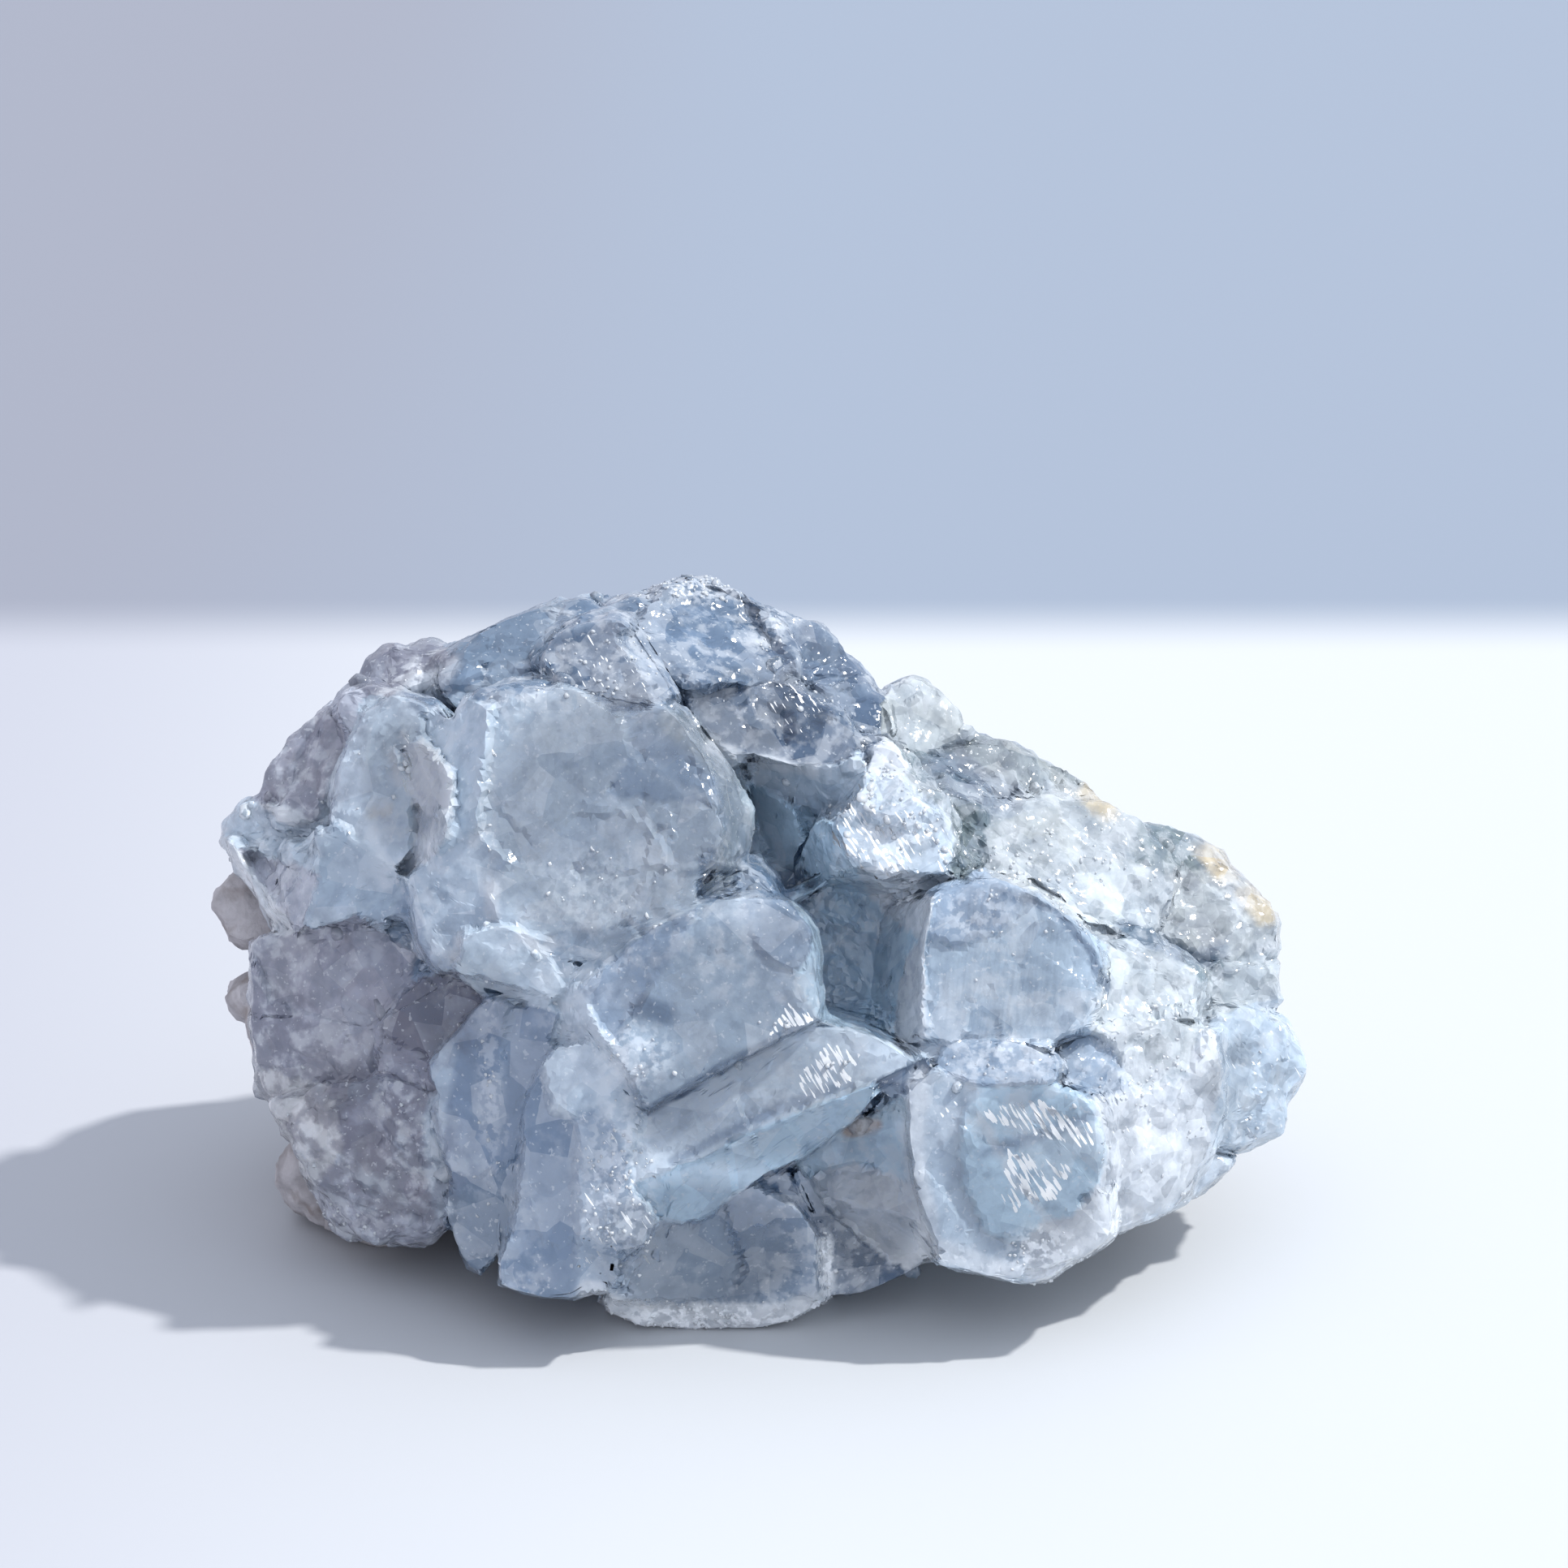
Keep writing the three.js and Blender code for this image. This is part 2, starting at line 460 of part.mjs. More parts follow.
    crest: [[20, 40.6, 0.6], [31.5, 36, 0.6]],
  },
  ridge: {
    face: [[30.5, 41], [33, 41.2], [36, 40.2], [37.8, 38.5], [39, 36.8], [41.5, 34.3], [42.2, 33.3],
      [41.6, 31],
      [40, 30.6], [37, 30.4], [34, 31.6], [32, 33.3]],
    out: -14, tilt: [-0.4, -0.4], bevel: 0.8,
    crest: [[31.5, 37.5, 0.6], [41, 33, 0.6]],
  },
  ridge_foot: {
    face: [[36.5, 29], [38, 29.5], [41.6, 29.6], [41.7, 27.5], [40.6, 26.6], [38.7, 26.8], [37, 27.3]],
    out: -10, tilt: [-0.5, 0], bevel: 0.6,
  },
  far_blob: {
    face: [[9.8, 51], [11.2, 52.7], [13, 53.2], [14.4, 52.2], [15.8, 50.6], [15.8, 48.8], [14.3, 47.8],
      [11.6, 48.7]],
    out: -12, tilt: [-0.2, -0.4], bevel: 0.7,
  },
  far_grey: {
    face: [[14.4, 47.4], [16.2, 48.9], [18, 48.8], [21, 48], [22, 46.8], [21.4, 44.4], [19.4, 43.4],
      [17, 43.8]],
    out: -12, tilt: [-0.2, -0.5], bevel: 0.5,
    crest: [[15.5, 47.5, 0.4], [21.5, 45.5, 0.4]],
  },
  far_pale: {
    face: [[21.6, 47.2], [24, 46.2], [26, 45], [27.6, 43.2], [26.5, 42.8], [23, 43.8], [21.8, 45.5]],
    out: -14, tilt: [-0.3, -0.5], bevel: 0.5,
  },
  dark_chip: {
    face: [[13, 45.5], [15, 44.6], [17.6, 43.5], [18.4, 42], [17.3, 41], [16.3, 42], [14.7, 43.8]],
    out: -5, tilt: [0, -0.3], bevel: 0.4,
  },
};

// The two recesses between the crystals: the floor's outline on the show plane, its depth and its tilt.
const POCKETS = [
  { floor: [[-3, 47], [4.5, 46], [6.5, 41.5], [7, 38.8], [1.8, 36], [-1, 39]], out: -8, tilt: [-0.2, 0.2] },
  { floor: [[3, 34.8], [8, 38], [12.5, 36], [13, 31], [11, 25.5], [5, 27]], out: -7, tilt: [0.1, -0.1] },
];
const POCKET_MOUTH = { out: 14, wider: 1.15 };

function pocket({ floor, out, tilt }) {
  const [cx, ch] = middleOf(floor);
  const base = floor.map(([x, h]) => [x, h, out + tilt[0] * (x - cx) + tilt[1] * (h - ch)]);
  const { wider } = POCKET_MOUTH;
  const mouth = floor.map(([x, h]) => [cx + (x - cx) * wider, ch + (h - ch) * wider, POCKET_MOUTH.out]);
  return hull([...base, ...mouth].map((place) => show(...place)));
}

// The solid celestite behind the crystals, a lens that leans with the show side.
function lens(grow) {
  const geometry = new THREE.IcosahedronGeometry(1, LENS.detail);
  geometry.scale(...LENS.radii.map((r) => r + grow));
  geometry.rotateX(-lean);
  geometry.translate(...show(LENS.x, LENS.h, LENS.out).toArray());
  return solidOf(geometry);
}

// Small tabular crystals that ring the rim, between the show side and the rind.
function rimDruse() {
  const random = randomStream(RIM_DRUSE.seed);
  return Array.from({ length: RIM_DRUSE.count }, (_, i) => {
    const step = (i / RIM_DRUSE.count) * PROFILE.length;
    const [x1, h1] = PROFILE[Math.floor(step)];
    const [x2, h2] = PROFILE[Math.ceil(step) % PROFILE.length];
    const x = LENS.x + (THREE.MathUtils.lerp(x1, x2, step % 1) - LENS.x) * RIM_DRUSE.inset;
    const h = LENS.h + (THREE.MathUtils.lerp(h1, h2, step % 1) - LENS.h) * RIM_DRUSE.inset;
    const geometry = tablet(random(6, 9), random(4, 6), random(2.5, 4), random(1.2, 2.2));
    geometry.rotateX(random(-0.9, 0.9));
    geometry.rotateY(Math.atan2(LENS.h - h, x - LENS.x) + random(-0.35, 0.35));
    geometry.rotateX(-lean);
    geometry.translate(...show(x, h, random(...RIM_DRUSE.out)).toArray());
    return solidOf(geometry);
  });
}

// Everything in front of the rind's broken edge, as one big block with a wavy back.
function frontOfRim(shift) {
  const size = 140;
  const depth = 90;
  const block = new THREE.BoxGeometry(size, depth, size, RIM_CELLS, 1, RIM_CELLS);
  block.translate(0, 0, size / 2 - 45);
  const p = block.getAttribute("position");
  const v = new THREE.Vector3();
  for (let i = 0; i < p.count; i++) {
    v.fromBufferAttribute(p, i);
    const lies = RIM.y + RIM.slope * v.z + RIM.turn * v.x + RIM.bow * (v.x / RIM.halfLength) ** 2;
    const rim = lies + wave(new THREE.Vector3(v.x, 0, v.z), RIM_WAVE);
    p.setY(i, v.y > 0 ? rim - shift : -depth);
  }
  return solidOf(block);
}

// ---- the two pieces ----

// How far the rind reaches from its centre along a way: to a nodule, or to the crystals' outline if nearer.
function rindReach(way) {
  const centre = new THREE.Vector3(...RIND.centre);
  const radii = [RIND.radii[0], RIND.radii[1], way.z < 0 ? RIND.below : RIND.radii[2]];
  const nodule = 1 / Math.hypot(...radii.map((radius, axis) => way.getComponent(axis) / radius));
  let hidden = 0;
  for (let step = nodule; step > 0.05; step /= 2) {
    const place = seenAt(centre.clone().addScaledVector(way, hidden + step));
    if (roomInside(...place) > RIND.inset) hidden += step;
  }
  return (nodule ** -RIND.round + hidden ** -RIND.round) ** (-1 / RIND.round);
}

// The domes' middles, as ways out from the rind's centre, strewn by the golden angle.
function noduleWays() {
  const random = randomStream(NODULES.seed);
  return Array.from({ length: NODULES.count }, (_, i) => {
    const turn = i * Math.PI * (3 - Math.sqrt(5)) + random(-0.3, 0.3);
    const up = 1 - (2 * (i + 0.5)) / NODULES.count;
    const side = Math.sqrt(1 - up * up);
    const way = new THREE.Vector3(side * Math.cos(turn), side * Math.sin(turn), up);
    return { way, spread: random(...NODULES.spread) };
  });
}

// The height of the domes along a way: the highest of those that cover it.
function noduleHeight(nodules, way) {
  const heights = nodules.map((nodule) => {
    const away = way.angleTo(nodule.way) / nodule.spread;
    return nodule.spread * Math.sqrt(Math.max(0, 1 - away * away));
  });
  return (NODULES.height * Math.max(...heights)) / NODULES.spread[1];
}

function rindSolid() {
  const nodules = noduleWays();
  const geometry = new THREE.IcosahedronGeometry(1, RIND.detail);
  const p = geometry.getAttribute("position");
  const v = new THREE.Vector3();
  for (let i = 0; i < p.count; i++) {
    const way = v.fromBufferAttribute(p, i).clone();
    v.multiplyScalar(rindReach(way) - NODULES.height / 2 + noduleHeight(nodules, way));
    v.addScaledVector(way, wave(v, RIND_LUMPS) + wave(v, RIND_PITS));
    p.setXYZ(i, v.x, v.y, v.z);
  }
  geometry.translate(...RIND.centre);
  return solidOf(geometry);
}

// A rounded knob of rind, at a place on the show side, with its reach along x, h and out.
function knob({ at, reach }, index) {
  const geometry = new THREE.IcosahedronGeometry(1, KNOB_DETAIL);
  const p = geometry.getAttribute("position");
  const v = new THREE.Vector3();
  for (let i = 0; i < p.count; i++) {
    v.fromBufferAttribute(p, i);
    v.multiplyScalar(1 + wave(v, { ...KNOB_WAVE, salt: index + 3.3 }));
    p.setXYZ(i, v.x * reach[0], v.y * reach[2], v.z * reach[1]);
  }
  geometry.rotateX(-lean);
  geometry.translate(...show(...at).toArray());
  return solidOf(geometry);
}

const belowTable = solidOf(new THREE.BoxGeometry(200, 200, 60).translate(0, 0, -30));

function crystalSolid() {
  const inner = union([lens(0), ...rimDruse()]);
  const base = POCKETS.map(pocket).reduce((mass, hollow) => mass.subtract(hollow), inner);
  const grown = union([base, ...Object.values(SHOW_CRYSTALS).map(crystal)]);
  const space = frontOfRim(SEAT_GAP).add(lens(0));
  return grown.intersect(space).subtract(belowTable);
}

function rindShell() {
  const nodule = union([rindSolid(), ...KNOBS.map(knob)]);
  return nodule.subtract(frontOfRim(0)).subtract(lens(SEAT_GAP)).subtract(belowTable);
}

// The largest piece of a cut solid, without its slivers.
const biggest = (solid) => solid.simplify(SLIVER).decompose().sort((a, b) => b.volume() - a.volume())[0];

const celestite = new THREE.MeshStandardMaterial({ color: 0x9fb1c9, roughness: 0.25, metalness: 0 });
const limestone = new THREE.MeshStandardMaterial({ color: 0xa79f95, roughness: 0.9, metalness: 0 });

const crystals = new THREE.Mesh(geometryOf(biggest(crystalSolid())), celestite);
crystals.name = "celestite_crystals";
const shell = new THREE.Mesh(geometryOf(biggest(rindShell())), limestone);
shell.name = "matrix_rind";

const geode = new THREE.Group();
geode.add(crystals, shell);
const box = new THREE.Box3().setFromObject(geode);
const middle = box.getCenter(new THREE.Vector3());
geode.position.set(-middle.x, -middle.y, -box.min.z);

export default geode;
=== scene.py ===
"""A celestite geode piece: its looks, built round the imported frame.

Sizes and places are in millimetres until a mesh is made, and in metres from there on.
The show side, where the crystals face the viewer, leans back from -Y. Places on it are
given as x to the right, h up the leaning plane and out towards the viewer.
"""

import math

import bpy
import numpy as np
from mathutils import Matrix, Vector
from mathutils.bvhtree import BVHTree
from mathutils.kdtree import KDTree


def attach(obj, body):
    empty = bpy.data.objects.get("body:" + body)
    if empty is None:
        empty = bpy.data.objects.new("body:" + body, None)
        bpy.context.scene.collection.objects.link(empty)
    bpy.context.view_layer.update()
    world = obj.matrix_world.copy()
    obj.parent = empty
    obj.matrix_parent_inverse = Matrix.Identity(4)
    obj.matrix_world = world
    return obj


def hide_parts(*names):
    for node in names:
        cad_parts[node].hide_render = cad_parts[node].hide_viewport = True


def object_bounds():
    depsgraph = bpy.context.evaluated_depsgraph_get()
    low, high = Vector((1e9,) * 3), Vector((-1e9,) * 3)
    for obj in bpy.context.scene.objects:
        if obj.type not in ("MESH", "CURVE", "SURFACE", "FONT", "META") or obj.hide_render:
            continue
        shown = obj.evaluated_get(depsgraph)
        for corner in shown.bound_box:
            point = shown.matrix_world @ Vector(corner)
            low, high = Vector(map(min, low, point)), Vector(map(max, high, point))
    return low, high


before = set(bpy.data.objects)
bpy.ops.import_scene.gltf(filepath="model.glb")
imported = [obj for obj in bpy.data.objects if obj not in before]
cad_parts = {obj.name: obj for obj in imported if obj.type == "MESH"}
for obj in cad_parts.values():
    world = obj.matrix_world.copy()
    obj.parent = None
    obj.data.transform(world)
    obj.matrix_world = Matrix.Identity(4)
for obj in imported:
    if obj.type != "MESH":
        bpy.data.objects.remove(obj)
cad_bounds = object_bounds()

MM = 0.001
LEAN = math.radians(21)
FRONT_Y = -22
ORIGIN = np.array([0.323, -1.777, 0]) + [0, FRONT_Y, 0]
EYE = 331  # how far the eye is from the show plane
EYE_AXIS = np.array([2.1, 44.9])  # the place on the show plane straight in front of the eye
RIGHT = np.array([1.0, 0.0, 0.0])
UP = np.array([0.0, math.sin(LEAN), math.cos(LEAN)])
OUT = np.array([0.0, -math.cos(LEAN), math.sin(LEAN)])
TO_LIGHT = np.array([0.75, 0.05, 1.0]) / math.hypot(0.75, 0.05, 1.0)
GLINT = (TO_LIGHT + OUT) / np.linalg.norm(TO_LIGHT + OUT)  # the way that cleavage steps face

BOX_LOW, BOX_HIGH = np.array(cad_bounds) / MM
FAR = 99.0
SOFT = 0.35  # how much of a spot's reach its soft edge takes

# ---- where things are on the show side ----


def show(places, out):
    """The points that are seen at these places and stand this far out, in the row frame."""
    out = np.asarray(out)[..., None]
    across = EYE_AXIS + (places - EYE_AXIS) * (1 - out / EYE)
    return ORIGIN + across[..., :1] * RIGHT + across[..., 1:] * UP + out * OUT


def seen(points):
    """The x and h at which each point is seen on the show plane, and how far out it stands."""
    rel = points - ORIGIN
    out = rel @ OUT
    across = np.stack([rel @ RIGHT, rel @ UP], axis=1)
    return EYE_AXIS + (across - EYE_AXIS) / (1 - out / EYE)[:, None], out


def spot(places, x, h, reach_x, reach_h, share=1.0, soft=SOFT):
    """The share inside an ellipse of the show plane, 0 outside it, with a soft edge."""
    away = np.hypot((places[:, 0] - x) / reach_x, (places[:, 1] - h) / reach_h)
    return share * (1 - smooth_step(1 - soft, 1 + soft, away))


def smooth_step(low, high, value):
    """0 below low and 1 above high, with a smooth rise between them."""
    t = np.clip((value - low) / (high - low), 0, 1)
    return t * t * (3 - 2 * t)


def of_length_1(rows):
    return rows / (np.linalg.norm(rows, axis=-1, keepdims=True) + 1e-12)


def dot(rows, others):
    return np.einsum("ij,ij->i", rows, others)


EYE_PLACE = show(EYE_AXIS, 0) + EYE * OUT


# ---- noise ----

WORD = np.uint64(2**32 - 1)
SALT_PRIME = 2654435761
CELL_PRIMES = np.array([73856093, 19349663, 83492791], np.uint64)
STIRS = np.array([(15, 2246822519), (13, 3266489917)], np.uint64)
BLOCK_TOP = 0.9  # how high a small crystal's middle stands, as a share of its height
BLOCK_SHAPE = (1.0, 0.8, 1.2)  # how narrow a small crystal is along each of its axes


def hashed(cell, salt):
    """Three random numbers from 0 to 1 for each whole-numbered cell."""
    mixed = np.bitwise_xor.reduce(cell.astype(np.uint64) * CELL_PRIMES, axis=1)
    mixed = (mixed ^ np.uint64(salt * SALT_PRIME % 2**32)) & WORD
    numbers = []
    for _ in range(3):
        for shift, prime in STIRS:
            mixed = (mixed ^ (mixed >> shift)) * prime & WORD
        numbers.append(mixed / 2**32)
    return np.stack(numbers, axis=1)


def numbered(count, salt):
    """Three random numbers from 0 to 1 for each of a count of things."""
    return hashed(np.stack([np.arange(count)] * 3, axis=1), salt)


def wave(points, size, salt):
    """Smooth noise of a given size, from about -1 to 1."""
    scaled = points / size + salt * 7.31
    cell = np.floor(scaled).astype(np.int64)
    part = scaled - cell
    ease = part**3 * (part * (part * 6 - 15) + 10)
    total = np.zeros(len(points))
    for corner in np.ndindex(2, 2, 2):
        slope = hashed(cell + corner, salt) * 2 - 1
        weight = np.prod(np.where(corner, ease, 1 - ease), axis=1)
        total += weight * dot(slope, part - corner)
    return total * 1.5


def rough_wave(points, size, salt, octaves=3):
    """Noise with finer and fainter noise on it."""
    return sum(wave(points, size / 2**k, salt + k) / 2**k for k in range(octaves))


def cells_near(points, size, salt):
    """The cells round each point: which they are, their random numbers and the ways from their middles."""
    scaled = points / size
    cell = np.floor(scaled).astype(np.int64)
    for step in np.ndindex(3, 3, 3):
        near = cell + step - 1
        own = hashed(near, salt)
        yield near, own, scaled - (near + own)


def blocks(points, size, salt):
    """Heights, to about 1, of blocky crystals that crowd at random turns, and the top one's number."""
    height = np.zeros(len(points))
    number = np.full(len(points), 0.5)
    for near, own, away in cells_near(points, size, salt):
        first = of_length_1(hashed(near, salt + 1) * 2 - 1)
        second = of_length_1(np.cross(first, hashed(near, salt + 2) * 2 - 1))
        axes = (first, second, np.cross(first, second))
        reach = np.max([np.abs(dot(away, axis)) * k for axis, k in zip(axes, BLOCK_SHAPE)], axis=0)
        number = np.where(BLOCK_TOP - reach > height, own[:, 0], number)
        height = np.maximum(height, BLOCK_TOP - reach)
    return height, number


def terraces(points, size, salt):
    """Low steps: each cell of the rock has its own height and its own slight slope."""
    nearest = np.full(len(points), FAR)
    height = np.zeros(len(points))
    for near, _, away in cells_near(points, size, salt):
        reach = np.linalg.norm(away, axis=1)
        slope = hashed(near, salt + 1) - 0.5
        height = np.where(reach < nearest, slope[:, 0] + 0.5 * dot(away, slope), height)
        nearest = np.minimum(nearest, reach)
    return height


# ---- meshes ----

FIRST_CUT, LAST_CUT = 40.0, 0.2  # the rounds of cuts go from edges of this length to edges of that
CUT_STEP = 1.35  # each round's edges are this much shorter, and an edge may be this much too long
FLAT_DEG, SHARP_DEG = 9, 18  # edges that bend less lie in one facet, and those that bend more show
EDGE_STEP = 0.4


def arrays_of(node):
    """A CAD node's corners, in millimetres and without doubles, and its triangles."""
    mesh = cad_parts[node].data
    mesh.calc_loop_triangles()
    corners = np.empty(len(mesh.vertices) * 3)
    mesh.vertices.foreach_get("co", corners)
    triangles = np.empty(len(mesh.loop_triangles) * 3, int)
    mesh.loop_triangles.foreach_get("vertices", triangles)
    rounded = np.round(corners.reshape(-1, 3) / MM, 3)
    points, same = np.unique(rounded, axis=0, return_inverse=True)
    triangles = same.reshape(-1)[triangles].reshape(-1, 3)
    whole = (triangles != np.roll(triangles, 1, axis=1)).all(axis=1)
    return points, triangles[whole]


def crosses(points, triangles):
    """Each triangle's normal, as long as twice its area."""
    a, b, c = (points[triangles[:, k]] for k in range(3))
    return np.cross(b - a, c - a)


def normals_of(points, triangles):
    return of_length_1(crosses(points, triangles))


def vertex_normals(points, triangles):
    cross = crosses(points, triangles)
    total = np.zeros_like(points)
    for k in range(3):
        np.add.at(total, triangles[:, k], cross)
    return of_length_1(total)


def edges_of(triangles):
    """Each edge's ends, the edge opposite each triangle's each corner, and each edge's triangles."""
    pairs = np.sort(triangles[:, [[1, 2], [2, 0], [0, 1]]].reshape(-1, 2), axis=1)
    edges, index = np.unique(pairs, axis=0, return_inverse=True)
    index = index.reshape(-1)
    order = np.argsort(index, kind="stable")
    first = np.searchsorted(index[order], np.arange(len(edges)))
    sides = np.stack([order[first], order[np.minimum(first + 1, len(order) - 1)]], axis=1) // 3
    return edges, index.reshape(-1, 3), sides


def facets_of(points, triangles):
    """A facet number for each triangle: neighbours in nearly one plane share it."""
    normals = normals_of(points, triangles)
    _, _, sides = edges_of(triangles)
    bend = dot(normals[sides[:, 0]], normals[sides[:, 1]])
    joined = sides[bend > math.cos(math.radians(FLAT_DEG))]
    label = np.arange(len(triangles))
    while True:
        low = np.minimum(label[joined[:, 0]], label[joined[:, 1]])
        new = label.copy()
        np.minimum.at(new, joined[:, 0], low)
        np.minimum.at(new, joined[:, 1], low)
        new = new[new]
        if (new == label).all():
            return np.unique(label, return_inverse=True)[1].reshape(-1)
        label = new


def split_once(points, triangles, labels, marked_of):
    """Cuts every marked edge at its middle, and the triangles with it."""
    edges, opposite, _ = edges_of(triangles)
    marked = marked_of(points[edges[:, 0]], points[edges[:, 1]])
    if not marked.any():
        return points, triangles, labels
    middle = np.full(len(edges), -1)
    middle[marked] = len(points) + np.arange(marked.sum())
    points = np.concatenate([points, points[edges[marked]].mean(axis=1)])
    mids = middle[opposite]
    count = (mids >= 0).sum(axis=1)
    parts, part_labels = [triangles[count == 0]], [labels[count == 0]]

    def add(chosen, *made):
        for corners in made:
            parts.append(np.stack(corners, axis=1))
            part_labels.append(labels[chosen])

    for k in range(3):
        order = [(k + j) % 3 for j in range(3)]
        one = (count == 1) & (mids[:, k] >= 0)
        a, b, c = triangles[one][:, order].T
        m = mids[one, k]
        add(one, (a, b, m), (a, m, c))
        two = (count == 2) & (mids[:, k] < 0)
        a, b, c = triangles[two][:, order].T
        on_ca, on_ab = mids[two][:, order[1]], mids[two][:, order[2]]
        add(two, (a, on_ab, on_ca), (on_ab, b, c), (on_ab, c, on_ca))
    three = count == 3
    a, b, c = triangles[three].T
    on_bc, on_ca, on_ab = mids[three].T
    add(three, (a, on_ab, on_ca), (on_ab, b, on_bc), (on_ca, on_bc, c), (on_ab, on_bc, on_ca))
    return points, np.concatenate(parts), np.concatenate(part_labels)


def refined(points, triangles, labels, wanted_of):
    """Cuts the long edges first, until no edge is much longer than wanted at its middle."""
    longest = FIRST_CUT
    while longest > LAST_CUT:
        def marked_of(a, b):
            length = np.linalg.norm(a - b, axis=1)
            return (length > longest) & (length > CUT_STEP * wanted_of((a + b) / 2))
        points, triangles, labels = split_once(points, triangles, labels, marked_of)
        longest /= CUT_STEP
    return points, triangles, labels


def tree_of(points):
    tree = KDTree(len(points))
    for i, place in enumerate(points):
        tree.insert(place, i)
    tree.balance()
    return tree


def distance_to(tree, points):
    """How far each point is from the nearest of a tree's points."""
    return np.array([tree.find(place)[2] for place in points])


def sharp_edges(points, triangles):
    """The ends of the edges that stand out and of those that lie in a groove."""
    normals = normals_of(points, triangles)
    centres = points[triangles].mean(axis=1)
    edges, _, sides = edges_of(triangles)
    one, other = sides.T
    sharp = dot(normals[one], normals[other]) < math.cos(math.radians(SHARP_DEG))
    proud = dot(normals[one], centres[other] - centres[one]) < 0
    return edges[sharp & proud], edges[sharp & ~proud]


def along_edges(points, edges):
    """Points at short steps along each edge."""
    places = []
    for a, b in points[edges]:
        count = max(1, int(np.linalg.norm(b - a) / EDGE_STEP))
        places.append(a + (b - a) * (np.arange(count + 1) / count)[:, None])
    return np.concatenate(places)


def make_object(name, points, triangles, material, smooth_deg=None, **attributes):
    """A mesh object from millimetres, with named numbers or colours on its vertices."""
    mesh = bpy.data.meshes.new(name)
    points = np.clip(points, BOX_LOW, BOX_HIGH)
    mesh.vertices.add(len(points))
    mesh.vertices.foreach_set("co", (points * MM).astype(np.float32).ravel())
    mesh.loops.add(triangles.size)
    mesh.loops.foreach_set("vertex_index", triangles.astype(np.int32).ravel())
    mesh.polygons.add(len(triangles))
    mesh.polygons.foreach_set("loop_start", np.arange(0, triangles.size, 3, dtype=np.int32))
    for key, values in attributes.items():
        kind, part = ("FLOAT", "value") if values.ndim == 1 else ("FLOAT_VECTOR", "vector")
        layer = mesh.attributes.new(key, kind, "POINT")
        layer.data.foreach_set(part, values.astype(np.float32).ravel())
    mesh.update(calc_edges=True)
    if smooth_deg is not None:
        mesh.polygons.foreach_set("use_smooth", np.ones(len(triangles), bool))
        mesh.set_sharp_from_angle(angle=math.radians(smooth_deg))
    mesh.materials.append(material)
    mesh.validate()
    made = bpy.data.objects.new(name, mesh)
    bpy.context.scene.collection.objects.link(made)
    return made


# ---- camera, floor and light ----

PICTURE = 1932
FOCAL_PX = 4969.7
SENSOR = 36
TABLE_END = (145, 168)  # the table fades into the wall's colour over this stretch of Y
# Painted light: the table and the wall are darker on the left and lighter on the right.
FLOOR_PAINTED_DIM, FLOOR_PAINTED_LIT = (0.41, 0.415, 0.455), (0.545, 0.56, 0.575)
WALL_PAINTED_DIM, WALL_PAINTED_LIT = (0.245, 0.255, 0.30), (0.255, 0.295, 0.36)
PAINTED_LIGHT_SPAN = (-0.10, 0.01)  # both turn lighter over this stretch of X, in metres
FLOOR_HALF = 2.0
SKY_DIM, SKY_BRIGHT = (0.68, 0.68, 0.78), (0.98, 1.08, 1.24)
SKY_WAY = (0.75, 0.1, 0.65)  # where the sky is brightest
SKY_RISE = (-0.5, 0.8)
SUN = 3.2
SUN_SPREAD = math.radians(2.5)
SUN_COLOUR = (1, 0.99, 0.975)


def make_camera():
    data = bpy.data.cameras.new("camera")
    data.sensor_width = SENSOR
    data.lens = SENSOR * FOCAL_PX / PICTURE
    data.clip_start, data.clip_end = 0.01, 10
    camera = bpy.data.objects.new("camera", data)
    camera.location = Vector(EYE_PLACE) * MM
    camera.rotation_euler = (math.radians(90) - LEAN, 0, 0)
    bpy.context.scene.collection.objects.link(camera)
    bpy.context.scene.camera = camera


def make_floor():
    """One plane, coloured as the table where it is near and as the wall beyond it, both with painted light
    that grows towards the right.
    """
    mesh = bpy.data.meshes.new("floor")
    corners = [(x * FLOOR_HALF, y * FLOOR_HALF, 0) for x, y in ((-1, -1), (1, -1), (1, 1), (-1, 1))]
    mesh.from_pydata(corners, [], [(0, 1, 2, 3)])
    floor = bpy.data.objects.new("floor", mesh)
    bpy.context.scene.collection.objects.link(floor)
    graph = Graph(bpy.data.materials.new("floor"))
    place = graph.split(graph.add("ShaderNodeNewGeometry")["Position"])
    # the share of the painted light, from the darker left to the lighter right
    across = graph.range(place["X"], *PAINTED_LIGHT_SPAN)
    beyond = graph.range(place["Y"], TABLE_END[0] * MM, TABLE_END[1] * MM)
    table = graph.mix(across, FLOOR_PAINTED_DIM, FLOOR_PAINTED_LIT)
    wall = graph.mix(across, WALL_PAINTED_DIM, WALL_PAINTED_LIT)
    graph.surface(Base_Color=graph.mix(beyond, table, wall), Roughness=0.6, Specular_IOR_Level=0.2)
    mesh.materials.append(graph.owner)


def limit_bounces():
    """Caps how often light is followed from face to face, since the crystals are mostly milky."""
    cycles = bpy.context.scene.cycles
    cycles.max_bounces = 6
    cycles.diffuse_bounces = 2
    cycles.glossy_bounces = 2
    cycles.transmission_bounces = 5
    cycles.transparent_max_bounces = 4


